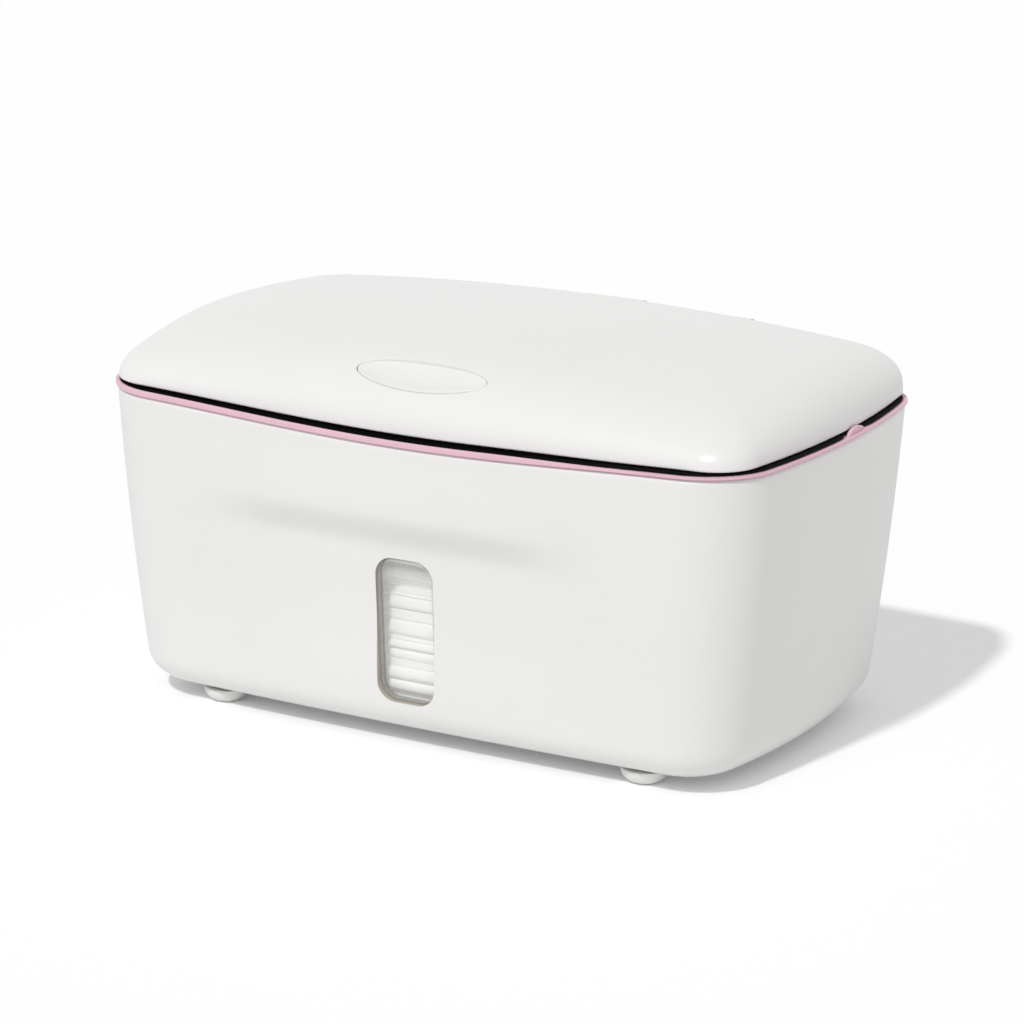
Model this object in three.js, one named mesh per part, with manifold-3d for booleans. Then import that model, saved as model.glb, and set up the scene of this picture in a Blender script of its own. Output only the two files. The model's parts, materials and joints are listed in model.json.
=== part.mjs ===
// A wipes dispenser that stands on a table: a tub with a window, a soft ring round its rim, a hinged
// lid with a thumb button and a latch, and a weighted plate that rides down on the stack of wipes.
// Millimetres, +Z up, front at -Y. The origin is on the table, under the middle of the whole object.
import * as THREE from 'three';
import Module from 'manifold-3d';
import { mergeVertices, toCreasedNormals } from 'three/addons/utils/BufferGeometryUtils.js';

const wasm = await Module();
wasm.setup();

// Gaps and cutters
const fitGap = 0.3;
const slideGap = 0.4;
const overrun = 2;

// Rim of the tub, at the outer edge of the soft ring
const rimHalfLength = 117.5;
const rimHalfDepth = 67.4;
const rimLongBow = 2.46;
const rimEndBow = 7.54;
const rimCornerRadius = 23.5;
const rimHeight = 100.2;
const rimDip = 3.46;

// Tub: a tapered moulding with round bottom edges
const tubUnderside = 4.6;
const baseEndSetIn = 9.1;
const baseSideSetIn = 6.25;
const baseHalfLength = rimHalfLength - baseEndSetIn;
const baseHalfDepth = rimHalfDepth - baseSideSetIn;
const baseCornerRadius = 20.3;
const baseEdgeRadius = 9.1;
const wallBow = 0.67;
const wallThickness = 2.5;
const wallLipRadius = 1.6;
const floorThickness = 3;

// Soft brow across the front: below it the wall stands back, and comes forward again near the base
const browDepth = 1.3;
const browHalfLength = 58;
const browFlatHalfLength = 34;
const browUnderRim = 26.2;
const browHeight = 11;
const recessHeight = 19;
const recessFade = 28;
const browTop = rimHeight - browUnderRim;
const browBottom = browTop - browHeight;
const recessFadeTop = browBottom - recessHeight;
const recessFadeBottom = recessFadeTop - recessFade;

// Window in the front wall, and the clear pane behind it, with a raised middle that fills the opening
const windowHalfWidth = 10;
const windowBottom = 15;
const windowUnderBrow = 2;
const windowTop = browBottom - windowUnderBrow;
const windowCornerRadius = 6;
const paneLap = 2.2;
const paneThickness = 1.5;
const paneGap = 0.6;
const panePlug = 1.3;

// Soft ring on the rim: a bead round a flat seat, with a pull tab at the right
const ringHeight = 1.75;
const ringBead = 1.2;
const ringBeadEdge = 0.35;
const ringSeat = 0.7;
const ringWidth = 4.7;
const ringProudEnds = 0.65;
const ringProudSides = 0.25;
const ringSkirtDrop = 5;
const ringSkirtThickness = 0.8;
const ringLip = 0.6;
const tabRadius = 5.5;
const tabThickness = 1.1;
const tabHeight = 2.4;
const tabSetIn = 1.35;
const tabCentreY = 6;

// Feet
const footEndSetIn = 33.6;
const footSideSetIn = 13.55;
const footX = baseHalfLength - footEndSetIn;
const footY = baseHalfDepth - footSideSetIn;
const footRadius = 7.4;
const footPadRadius = 3;
const footShoulder = 0.7;
const footStemRadius = 4;
const footStemLength = 1.5;

// Lid: a shallow pillow whose lower edge follows the rim
const lidSetIn = 2.9;
const lidLongBow = 2.2;
const lidEndBow = 6.55;
const lidCornerRadius = 14.5;
const lidTopCornerRadius = 8;
const lidEdgeOverRimMiddle = 3.1;
const lidEdgeOverRimEnds = 2.6;
const lidRise = 24.1;
const lidHeight = rimHeight + lidRise;
const lidFallToEnds = 6.7;
const lidFallToFront = 9;
const lidFallToRear = 4.1;
const lidRoll = 21.4;
const lidFrontRoll = 26;
const lidRollPower = 2.92;
const lidFrontRollPower = 2.4;
const lidWall = 2.5;
const lidLipRadius = 0.6;

// Black seal under the lid's edge
const sealOuterSetIn = 1.2;
const sealInnerSetIn = 2.4;
const sealOverSeat = 0.3;

// Tray that closes the lid from below
const trayEdge = 0.6;
const trayUnderRim = 4.2;
const trayFloorBottom = rimHeight - trayUnderRim;
const trayFloor = 2.2;
const trayWall = 1.7;
const trayLap = 2;
const bossRadius = 3.6;
const bossHeight = 3.4;
const pilotRadius = 1.7;
const pilotHeight = 1.6;

// Latch: a lever on a cross pin, its hook under the ledge on the tub's front wall
const latchPivotSetIn = 22;
const latchPivotOverTray = 7;
const latchPivotY = latchPivotSetIn - rimHalfDepth;
const latchPivotZ = trayFloorBottom + latchPivotOverTray;
const latchHalfWidth = 4.5;
const latchEyeRadius = 2.9;
const latchPinRadius = 1;
const latchArmThickness = 2.6;
const latchArmRise = 1.5;
const latchShankSetIn = 9.2;
const latchShankFront = latchShankSetIn - rimHalfDepth;
const latchShankThickness = 2.2;
const latchHookBite = 2;
const latchHookThickness = 2.1;
const earThickness = 2;
const earGap = 0.5;
const latchSpringLength = 4;
const latchSpringWire = 0.3;
const latchSpringRadius = 1.75;
const ledgeUnderTray = 8;
const ledgeBottom = trayFloorBottom - ledgeUnderTray;
const ledgeNose = 1.4;
const ledgeRise = 3.2;
const ledgeSetIn = 8.1;
const ledgeReach = ledgeSetIn - rimHalfDepth;
const ledgeHalfWidth = 8;

// Thumb button: a dished oval in the lid's front shoulder
const buttonHalfLength = 22.5;
const buttonHalfDepth = 5.7;
const buttonSetIn = 14;
const buttonY = buttonSetIn - rimHalfDepth;
const buttonSkirt = 1.1;
const buttonOverLatch = 3.5;
const buttonBottom = latchPivotZ + latchArmRise + buttonOverLatch;
const buttonCapDrop = 4.6;
const dishRadius = 12;
const dishHalfLength = 42;
const dishAhead = 6.9;
const dishUnderTop = 0.7;
const dishCentreY = buttonY - dishAhead;
const dishCentreZ = lidHeight - dishUnderTop;
const buttonSeatRadius = 3.4;
const buttonSeatUnderTop = 13.7;
const buttonSeatBottom = lidHeight - buttonSeatUnderTop;
const buttonPostRadius = 1.6;
const buttonPostTip = 0.9;
const collarThickness = 1.8;
const collarDrop = 1;
const collarBottom = buttonBottom - collarDrop;

// Coil springs under the button
const buttonSpringX = 10.5;
const buttonSpringRadius = 2.75;
const buttonSpringWire = 0.35;
const buttonSpringPitch = 1.45;

// Hinge at the rear: knuckles on the tub, barrels on the lid, one steel pin
const hingeBehindRim = 0.8;
const hingeOverRim = 11.6;
const hingeY = rimHalfDepth + hingeBehindRim;
const hingeZ = rimHeight + hingeOverRim;
const hingePinRadius = 1.5;
const hingePinHalfLength = 49.4;
const middleKnuckleHalfLength = 11;
const middleKnuckleRadius = 5.4;
const outerKnuckleFrom = 44.5;
const outerKnuckleTo = 50;
const outerKnuckleRadius = 4;
const barrelFrom = 11.6;
const barrelTo = 43.6;
const barrelRadius = 3.6;
const armRootSetIn = 5.1;
const armOverRim = 4.4;
const armRoot = rimHalfDepth - armRootSetIn;
const armRootLow = rimHeight + armOverRim;
const armTopRise = 0.7;
const bracketUnderRim = 18.2;
const bracketOverRim = 2.8;
const bracketBottom = rimHeight - bracketUnderRim;
const bracketTop = rimHeight + bracketOverRim;
const bracketDepth = 4.8;
const bracketFoot = 1.4;
const bracketGap = 0.4;
const bracketInner = rimHalfDepth + bracketGap;
const springPocketRadius = 3.6;
const springPocketHalfLength = 8;
const hingeSpringRadius = 2.5;
const hingeSpringWire = 0.45;

// Stack of folded wipes
const stackEndSetIn = 17.4;
const stackSideSetIn = 5.55;
const stackHalfLength = baseHalfLength - stackEndSetIn;
const stackHalfDepth = baseHalfDepth - stackSideSetIn;
const stackFoldBulge = 1.1;
const stackFoldPlay = 0.7;
const stackFootSetIn = 5.6;
const stackLayers = 16;
const stackFootLayers = 3;
const stackUnderRim = 33.9;
const stackTop = rimHeight - stackUnderRim;

// Weighted plate that rests on the stack
const plateEndSetIn = 15.5;
const plateSideSetIn = 12.4;
const plateHalfLength = rimHalfLength - plateEndSetIn;
const plateHalfDepth = rimHalfDepth - plateSideSetIn;
const plateCornerRadius = 16;
const plateHeight = 9;
const plateSkin = 1.8;
const plateEdgeRound = 1;
const weightThickness = 2.2;
const weightSetIn = 6;
const mouthHalfLength = 29;
const mouthHalfDepth = 11;
const mouthCollar = 1.6;
const lipFlange = 2.4;
const lipFlangeThickness = 1.4;
const slotHalfLength = 19.5;
const slotHalfDepth = 2.6;

// Shares and counts that carry no length
const sidePoints = { longSide: 7, corner: 5, endSide: 3 };
const filletStepShares = [0, 0.33, 0.67];
const lipStepShares = [0.35, 0.7, 1];
const wallStepShares = [0.14, 0.28, 0.42, 0.56, 0.61, 0.65, 0.69, 0.74, 0.87, 1];
const innerStepShares = [0.67, 0.33];
const lidStepShares = [0.2, 0.4, 0.58, 0.74, 0.87, 0.96, 1];
const crownShares = [0.7, 0.35];
const hollowStepShares = [0.25, 0.55, 0.85, 1];
const hollowCrownShares = [0.5];
const cornerShrinkShare = 0.6;
const bracketFootShare = 0.35;
const bracketRearShare = 0.75;
const creaseAngle = Math.PI / 5;
const tubeSides = 5;
const stepsPerTurn = 8;
const hingeSpringTurns = 6;
const latchSpringTurns = 3;
const roundSteps = 16;
const cornerSteps = 4;
const domeSteps = 4;

// Materials
function plastic(color, roughness) {
  return new THREE.MeshStandardMaterial({ color, roughness, metalness: 0 });
}
function steel(roughness) {
  return new THREE.MeshStandardMaterial({ color: 0xb9bcc0, roughness, metalness: 1 });
}

// Small geometry tools
function toSolid(geometry) {
  const bare = geometry.clone();
  bare.deleteAttribute('normal');
  bare.deleteAttribute('uv');
  const welded = mergeVertices(bare);
  const vertProperties = new Float32Array(welded.attributes.position.array);
  const triVerts = new Uint32Array(welded.index.array);
  return new wasm.Manifold(new wasm.Mesh({ numProp: 3, vertProperties, triVerts }));
}

function toGeometry(solid) {
  const mesh = solid.getMesh();
  const geometry = new THREE.BufferGeometry();
  geometry.setAttribute('position', new THREE.BufferAttribute(mesh.vertProperties, 3));
  geometry.setIndex(new THREE.BufferAttribute(mesh.triVerts, 1));
  return geometry;
}

function joined(...solids) {
  return solids.reduce((sum, solid) => sum.add(solid));
}

function cutBy(solid, ...cutters) {
  return cutters.reduce((rest, cutter) => rest.subtract(cutter), solid);
}

function mix(from, to, share) {
  return from + (to - from) * share;
}

function smooth(from, to, value) {
  return THREE.MathUtils.smoothstep(value, from, to);
}

// Rectangle with bulging sides: each side is one arc, and so is each corner
function outline({ halfLength, halfDepth, longBow, endBow, corner }) {
  const longRadius = (halfLength ** 2 + longBow ** 2) / (2 * longBow);
  const endRadius = (halfDepth ** 2 + endBow ** 2) / (2 * endBow);
  const longCentre = new THREE.Vector2(0, longRadius - halfDepth);
  const endCentre = new THREE.Vector2(halfLength - endRadius, 0);
  const between = endCentre.clone().sub(longCentre);
  const gap = between.length();
  const along = ((longRadius - corner) ** 2 - (endRadius - corner) ** 2 + gap ** 2) / (2 * gap);
  const aside = Math.sqrt((longRadius - corner) ** 2 - along ** 2);
  const unit = between.normalize();
  const cornerCentre = new THREE.Vector2(unit.x * along - unit.y * aside, unit.y * along + unit.x * aside);
  cornerCentre.add(longCentre);
  const longEnd = cornerCentre.clone().sub(longCentre).angle();
  const endStart = cornerCentre.clone().sub(endCentre).angle();
  const quarter = [
    ...arc(longCentre, longRadius, 1.5 * Math.PI, longEnd, sidePoints.longSide),
    ...arc(cornerCentre, corner, longEnd, endStart, sidePoints.corner),
    ...arc(endCentre, endRadius, endStart, 2 * Math.PI, sidePoints.endSide),
    new THREE.Vector2(halfLength, 0),
  ];
  const rightHalf = [...quarter, ...mirrored(quarter, 1, -1).slice(1)];
  return [...rightHalf, ...mirrored(rightHalf, -1, 1).slice(1, -1)];
}

function arc(centre, radius, from, to, count) {
  return Array.from({ length: count }, (_, i) => {
    const angle = mix(from, to, i / count);
    return new THREE.Vector2(centre.x + radius * Math.cos(angle), centre.y + radius * Math.sin(angle));
  });
}

function mirrored(points, signX, signY) {
  return points.map((p) => new THREE.Vector2(p.x * signX, p.y * signY)).reverse();
}

// Skin through rings of equal count; the ends are closed, or the last ring is joined to the first
function loft(rings, joinEnds = false) {
  const count = rings[0].length;
  const positions = rings.flat().flatMap((p) => [p.x, p.y, p.z]);
  const faces = [];
  const bands = joinEnds ? rings.length : rings.length - 1;
  for (let r = 0; r < bands; r += 1) {
    const low = r * count;
    const high = ((r + 1) % rings.length) * count;
    for (let i = 0; i < count; i += 1) {
      const next = (i + 1) % count;
      faces.push(low + i, low + next, high + next, low + i, high + next, high + i);
    }
  }
  if (!joinEnds) {
    addCap(positions, faces, rings[0], 0, true);
    addCap(positions, faces, rings.at(-1), (rings.length - 1) * count, false);
  }
  const geometry = new THREE.BufferGeometry();
  geometry.setAttribute('position', new THREE.Float32BufferAttribute(positions, 3));
  geometry.setIndex(faces);
  return geometry;
}

function addCap(positions, faces, ring, first, faceDown) {
  const centre = ring.reduce((sum, p) => sum.add(p), new THREE.Vector3()).divideScalar(ring.length);
  const middle = positions.length / 3;
  positions.push(centre.x, centre.y, centre.z);
  for (let i = 0; i < ring.length; i += 1) {
    const next = (i + 1) % ring.length;
    faces.push(middle, first + (faceDown ? next : i), first + (faceDown ? i : next));
  }
}

// Straight solids
function barX(points, fromX, toX) {
  const shape = new THREE.Shape(points.map(([y, z]) => new THREE.Vector2(y, z)));
  const geometry = new THREE.ExtrudeGeometry(shape, { depth: toX - fromX, bevelEnabled: false });
  geometry.applyMatrix4(new THREE.Matrix4().set(0, 0, 1, fromX, 1, 0, 0, 0, 0, 1, 0, 0, 0, 0, 0, 1));
  return toSolid(geometry);
}

function rodX(radius, fromX, toX, y, z) {
  const geometry = new THREE.CylinderGeometry(radius, radius, toX - fromX, roundSteps);
  geometry.rotateZ(Math.PI / 2).translate((fromX + toX) / 2, y, z);
  return toSolid(geometry);
}

function rodZ(radius, fromZ, toZ, x, y) {
  const geometry = new THREE.CylinderGeometry(radius, radius, toZ - fromZ, roundSteps);
  geometry.rotateX(Math.PI / 2).translate(x, y, (fromZ + toZ) / 2);
  return toSolid(geometry);
}

function prismZ(shape, fromZ, toZ) {
  const geometry = new THREE.ExtrudeGeometry(shape, {
    depth: toZ - fromZ, bevelEnabled: false, curveSegments: cornerSteps,
  });
  return toSolid(geometry.translate(0, 0, fromZ));
}

function roundedRectangle(halfWidth, halfHeight, radius) {
  const shape = new THREE.Shape();
  const x = halfWidth - radius;
  const y = halfHeight - radius;
  shape.absarc(x, -y, radius, -Math.PI / 2, 0);
  shape.absarc(x, y, radius, 0, Math.PI / 2);
  shape.absarc(-x, y, radius, Math.PI / 2, Math.PI);
  shape.absarc(-x, -y, radius, Math.PI, 1.5 * Math.PI);
  return shape;
}

function ovalShape(halfLength, halfDepth, centreY) {
  const points = Array.from({ length: 2 * roundSteps }, (_, i) => {
    const angle = (Math.PI * i) / roundSteps;
    return new THREE.Vector2(halfLength * Math.cos(angle), centreY + halfDepth * Math.sin(angle));
  });
  return new THREE.Shape(points);
}

// Coil spring: one wire wound round +Z from z = 0 up
class Helix extends THREE.Curve {
  constructor(radius, length, turns) {
    super();
    Object.assign(this, { radius, length, turns });
  }
  getPoint(t, target = new THREE.Vector3()) {
    const angle = 2 * Math.PI * this.turns * t;
    return target.set(this.radius * Math.cos(angle), this.radius * Math.sin(angle), this.length * t);
  }
}

function coil(radius, wire, length, turns) {
  const rise = length - 3 * wire;
  const path = new Helix(radius, rise, turns);
  const section = new THREE.Shape(Array.from({ length: tubeSides }, (_, i) => {
    const angle = (2 * Math.PI * i) / tubeSides;
    return new THREE.Vector2(wire * Math.cos(angle), wire * Math.sin(angle));
  }));
  const steps = turns * stepsPerTurn;
  const geometry = new THREE.ExtrudeGeometry(section, { steps, extrudePath: path });
  const leastGap = rise / turns - 2 * wire;
  console.log(`coil of radius ${radius}: least gap between turns ${leastGap.toFixed(2)} mm`);
  return geometry.translate(0, 0, (length - rise) / 2);
}

// Heights along the rim: the seam under the ring is lowest at the middle of each long side
function dipShare(x) {
  const along = THREE.MathUtils.clamp(x / rimHalfLength, -1, 1);
  return Math.cos((along * Math.PI) / 2) ** 2;
}

function rimSeam(x) {
  return rimHeight - rimDip * dipShare(x);
}

// Outer face of the tub wall at height z, with the corners' radius
function wallAt(z, inward) {
  const share = (z - tubUnderside) / (rimHeight - tubUnderside);
  const bow = 4 * wallBow * share * (1 - share) - inward;
  return {
    halfLength: mix(baseHalfLength, rimHalfLength - ringProudEnds, share) + bow,
    halfDepth: mix(baseHalfDepth, rimHalfDepth - ringProudSides, share) + bow,
    longBow: rimLongBow,
    endBow: rimEndBow,
    corner: mix(baseCornerRadius, rimCornerRadius, share) - inward,
  };
}

function browRelief(x, z) {
  const across = 1 - smooth(browFlatHalfLength, browHalfLength, Math.abs(x));
  const down = 1 - smooth(browBottom, browTop, z);
  const foot = smooth(recessFadeBottom, recessFadeTop, z);
  return browDepth * across * down * foot;
}

// Ring of the wall at a share of its height, following the dip of the rim more and more
function wallRing(share, inward, top, bottom, brow) {
  const level = mix(bottom, rimHeight - top, share);
  return outline(wallAt(level, inward)).map((p) => {
    const z = mix(bottom, rimSeam(p.x) - top, share);
    const here = wallAt(z, inward);
    const there = wallAt(level, inward);
    const x = (p.x * here.halfLength) / there.halfLength;
    const y = (p.y * here.halfDepth) / there.halfDepth;
    return new THREE.Vector3(x, y + (brow && y < 0 ? browRelief(x, z) : 0), z);
  });
}

function flatRing(z, inward, setIn) {
  const size = wallAt(z, inward);
  const ring = outline({
    ...size,
    halfLength: size.halfLength - setIn,
    halfDepth: size.halfDepth - setIn,
    corner: size.corner - setIn,
  });
  return ring.map((p) => new THREE.Vector3(p.x, p.y, z));
}

// Rings round a bottom edge of the given radius, from the flat upward
function filletRings(bottom, radius, inward) {
  return filletStepShares.map((share) => {
    const angle = (share * Math.PI) / 2;
    const z = bottom + radius * (1 - Math.cos(angle));
    return flatRing(z, inward, radius * (1 - Math.sin(angle)));
  });
}

// Rings round the wall's top outer edge, from the side up to the flat
function lipRings(bottom) {
  return lipStepShares.map((share) => {
    const angle = (share * Math.PI) / 2;
    const inward = wallLipRadius * (1 - Math.cos(angle));
    return wallRing(1, inward, fitGap + wallLipRadius * (1 - Math.sin(angle)), bottom, true);
  });
}

function tubShell() {
  const floorTop = tubUnderside + floorThickness;
  const innerRadius = baseEdgeRadius - wallThickness;
  const outerFoot = tubUnderside + baseEdgeRadius;
  const innerFoot = floorTop + innerRadius;
  const underLip = fitGap + wallLipRadius;
  const outside = [
    ...filletRings(tubUnderside, baseEdgeRadius, 0),
    wallRing(0, 0, underLip, outerFoot, true),
    ...wallStepShares.map((share) => wallRing(share, 0, underLip, outerFoot, true)),
    ...lipRings(outerFoot),
  ];
  const inside = [
    wallRing(1, wallThickness, fitGap, innerFoot, false),
    ...innerStepShares.map((share) => wallRing(share, wallThickness, fitGap, innerFoot, false)),
    wallRing(0, wallThickness, fitGap, innerFoot, false),
    ...filletRings(floorTop, innerRadius, wallThickness).reverse(),
  ];
  return toSolid(loft([...outside, ...inside]));
}

function windowCutter() {
  const shape = roundedRectangle(windowHalfWidth, (windowTop - windowBottom) / 2, windowCornerRadius);
  const geometry = new THREE.ExtrudeGeometry(shape, {
    depth: rimHalfDepth, bevelEnabled: false, curveSegments: cornerSteps,
  });
  geometry.rotateX(Math.PI / 2).translate(0, 0, (windowTop + windowBottom) / 2);
  return toSolid(geometry);
}

// Bracket behind the rear wall: a foot that runs into the wall, and three knuckles
function hingeBracket() {
  const rear = bracketInner + bracketDepth;
  const inWall = wallAt(bracketBottom, wallThickness / 2).halfDepth;
  const underRing = rimHeight - rimDip - 2 * fitGap;
  const foot = [
    [inWall, bracketBottom],
    [bracketInner + bracketFoot, mix(bracketBottom, bracketTop, bracketFootShare)],
    [rear, mix(bracketBottom, bracketTop, bracketRearShare)], [rear, bracketTop],
    [bracketInner, bracketTop], [bracketInner, underRing], [inWall, underRing],
  ];
  const web = [[bracketInner, underRing], [rear, underRing], [rear - fitGap, hingeZ], [bracketInner, hingeZ]];
  const knuckles = [
    [-middleKnuckleHalfLength, middleKnuckleHalfLength, middleKnuckleRadius],
    [outerKnuckleFrom, outerKnuckleTo, outerKnuckleRadius],
    [-outerKnuckleTo, -outerKnuckleFrom, outerKnuckleRadius],
  ];
  const parts = knuckles.flatMap(([from, to, radius]) => [
    barX(web, from, to), rodX(radius, from, to, hingeY, hingeZ),
  ]);
  return joined(barX(foot, -outerKnuckleTo, outerKnuckleTo), ...parts);
}

function latchLedge() {
  const inWall = -wallAt(ledgeBottom, wallThickness / 2).halfDepth;
  const profile = [
    [inWall, ledgeBottom], [ledgeReach, ledgeBottom],
    [ledgeReach, ledgeBottom + ledgeNose], [inWall, ledgeBottom + ledgeRise],
  ];
  return barX(profile, -ledgeHalfWidth, ledgeHalfWidth);
}

function tub() {
  const socketTop = tubUnderside + footStemLength + fitGap;
  const sockets = footPlaces().map(([x, y]) => rodZ(
    footStemRadius + fitGap, tubUnderside - overrun, socketTop, x, y,
  ));
  const boreHalf = outerKnuckleTo + overrun;
  const pinBore = rodX(hingePinRadius + fitGap, -boreHalf, boreHalf, hingeY, hingeZ);
  const pocket = rodX(springPocketRadius, -springPocketHalfLength, springPocketHalfLength, hingeY, hingeZ);
  const body = joined(tubShell(), hingeBracket(), latchLedge());
  return cutBy(body, windowCutter(), pinBore, pocket, ...sockets);
}

function footPlaces() {
  return [[-footX, -footY], [footX, -footY], [-footX, footY], [footX, footY]];
}

function foot() {
  const top = tubUnderside - fitGap;
  const domeHeight = top - footShoulder;
  const dome = Array.from({ length: domeSteps + 1 }, (_, i) => {
    const angle = (i / domeSteps) * (Math.PI / 2);
    const reach = footPadRadius + (footRadius - footPadRadius) * Math.sin(angle);
    return new THREE.Vector2(reach, domeHeight * (1 - Math.cos(angle)));
  });
  const profile = [
    new THREE.Vector2(0, 0), ...dome, new THREE.Vector2(footRadius, top),
    new THREE.Vector2(footStemRadius, top), new THREE.Vector2(footStemRadius, top + footStemLength),
    new THREE.Vector2(0, top + footStemLength),
  ];
  return new THREE.LatheGeometry(profile, roundSteps).rotateX(Math.PI / 2);
}

// Clear pane, leaned like the wall that it is bonded to
function windowPane() {
  const low = windowBottom - paneLap;
  const high = windowTop + paneLap;
  const innerLow = wallAt(low, wallThickness).halfDepth;
  const innerHigh = wallAt(high, wallThickness).halfDepth;
  const lean = Math.atan2(innerHigh - innerLow, high - low);
  const halfHeight = (high - low) / 2 / Math.cos(lean);
  const shapeAround = (lap) => roundedRectangle(
    windowHalfWidth + lap, halfHeight - paneLap + lap, windowCornerRadius + lap,
  );
  const pane = joined(
    prismZ(shapeAround(paneLap), 0, paneThickness),
    prismZ(shapeAround(-fitGap), 0, paneThickness + panePlug),
  );
  const geometry = toCreasedNormals(toGeometry(pane), creaseAngle);
  const mesh = new THREE.Mesh(geometry, plastic(0xf2f4f4, 0.08));
  mesh.material.transparent = true;
  mesh.material.opacity = 0.25;
  mesh.rotation.x = Math.PI / 2 + lean;
  mesh.position.set(0, -(innerLow + innerHigh) / 2 + paneGap + paneThickness, (low + high) / 2);
  return mesh;
}

// Soft ring: a bead and a seat over the wall's top edge, its seam level with the rim line
function rimRing() {
  const skirtOut = ringWidth - ringSkirtThickness;
  const section = [
    [0, 0], [0, ringHeight - ringBeadEdge], [ringBeadEdge, ringHeight],
    [ringBead - ringBeadEdge, ringHeight], [ringBead, ringHeight - ringBeadEdge], [ringBead, ringSeat],
    [ringWidth, ringSeat], [ringWidth + ringLip, ringSeat / 2],
    [ringWidth, 0], [ringWidth, -ringSkirtDrop], [skirtOut, -ringSkirtDrop], [skirtOut, 0],
  ];
  const rings = section.map(([setIn, rise]) => outline({
    halfLength: rimHalfLength - setIn,
    halfDepth: rimHalfDepth - setIn,
    longBow: rimLongBow,
    endBow: rimEndBow,
    corner: rimCornerRadius - setIn,
  }).map((p) => new THREE.Vector3(p.x, p.y, rimSeam(p.x) + rise)));
  return toSolid(loft(rings, true));
}

function pullTab() {
  const shape = new THREE.Shape();
  shape.absarc(0, 0, tabRadius, 0, Math.PI);
  const geometry = new THREE.ExtrudeGeometry(shape, {
    depth: tabThickness, bevelEnabled: false, curveSegments: cornerSteps,
  });
  const x = rimHalfLength - tabSetIn;
  geometry.scale(1, tabHeight / tabRadius, 1).rotateX(Math.PI / 2).rotateZ(Math.PI / 2);
  geometry.translate(x - tabThickness, tabCentreY, rimSeam(x) + ringSeat / 2);
  return toSolid(geometry);
}

// Lid surfaces
function lidEdge(x) {
  return rimSeam(x) + mix(lidEdgeOverRimEnds, lidEdgeOverRimMiddle, dipShare(x));
}

function lidCrown(x, y, drop) {
  const fall = y < 0 ? lidFallToFront : lidFallToRear;
  const ends = lidFallToEnds * (x / rimHalfLength) ** 2;
  return lidHeight - drop - ends - fall * (y / rimHalfDepth) ** 2;
}

function rollSetIn(share, reach, power) {
  return reach * (1 - (1 - share ** power) ** (1 / power));
}

function lidOutline(setIn, frontSetIn) {
  const mean = (setIn + frontSetIn) / 2;
  const ring = outline({
    halfLength: rimHalfLength - lidSetIn - setIn,
    halfDepth: rimHalfDepth - lidSetIn - mean,
    longBow: lidLongBow,
    endBow: lidEndBow,
    corner: Math.max(lidCornerRadius - cornerShrinkShare * mean, lidTopCornerRadius),
  });
  return ring.map((p) => new THREE.Vector2(p.x, p.y + (frontSetIn - setIn) / 2));
}

function lidRing(share, wall) {
  const setIn = wall + rollSetIn(share, lidRoll - wall, lidRollPower);
  const frontSetIn = wall + rollSetIn(share, lidFrontRoll - wall, lidFrontRollPower);
  return lidOutline(setIn, frontSetIn).map((p) => new THREE.Vector3(
    p.x, p.y, mix(lidEdge(p.x), lidCrown(p.x, p.y, wall), share),
  ));
}

function lidCrownRing(scale, wall) {
  return lidOutline(lidRoll, lidFrontRoll).map((p) => {
    const x = p.x * scale;
    const y = p.y * scale;
    return new THREE.Vector3(x, y, lidCrown(x, y, wall));
  });
}

function lidLipRing() {
  return lidOutline(lidLipRadius, lidLipRadius).map((p) => new THREE.Vector3(p.x, p.y, lidEdge(p.x)));
}

function lidLipSide() {
  return lidOutline(0, 0).map((p) => new THREE.Vector3(p.x, p.y, lidEdge(p.x) + lidLipRadius));
}

function lidSkin(wall, stepShares, scaleShares) {
  return [
    ...stepShares.map((share) => lidRing(share, wall)),
    ...scaleShares.map((scale) => lidCrownRing(scale, wall)),
  ];
}

function lidSolid() {
  return toSolid(loft([lidLipRing(), lidLipSide(), ...lidSkin(0, lidStepShares, crownShares)]));
}

function lidHollow() {
  const mouth = lidRing(0, lidWall).map((p) => p.clone().setZ(p.z - overrun));
  return toSolid(loft([mouth, ...lidSkin(lidWall, hollowStepShares, hollowCrownShares)]));
}

// Arm from the lid's rear wall to its barrel on the hinge pin
function hingeArm(from, to) {
  const top = hingeZ + barrelRadius;
  const profile = [
    [armRoot, armRootLow], [hingeY - barrelRadius / 2, hingeZ - barrelRadius],
    [hingeY, hingeZ - barrelRadius], [hingeY, top], [armRoot - lidWall, top + armTopRise],
  ];
  return joined(barX(profile, from, to), rodX(barrelRadius, from, to, hingeY, hingeZ));
}

function buttonCollar(solid) {
  const around = ovalShape(
    buttonHalfLength + collarThickness, buttonHalfDepth + collarThickness, buttonY,
  );
  return prismZ(around, collarBottom, lidHeight).intersect(solid);
}

function lidShell() {
  const solid = lidSolid();
  const shell = joined(
    cutBy(solid, lidHollow()), buttonCollar(solid),
    hingeArm(barrelFrom, barrelTo), hingeArm(-barrelTo, -barrelFrom),
  );
  const opening = prismZ(ovalShape(buttonHalfLength, buttonHalfDepth, buttonY), rimHeight, lidHeight);
  const scallopHalf = middleKnuckleHalfLength + slideGap;
  const scallop = rodX(middleKnuckleRadius + slideGap, -scallopHalf, scallopHalf, hingeY, hingeZ);
  const bore = rodX(hingePinRadius + fitGap, -barrelTo - overrun, barrelTo + overrun, hingeY, hingeZ);
  return cutBy(shell, opening, scallop, bore);
}

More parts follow.
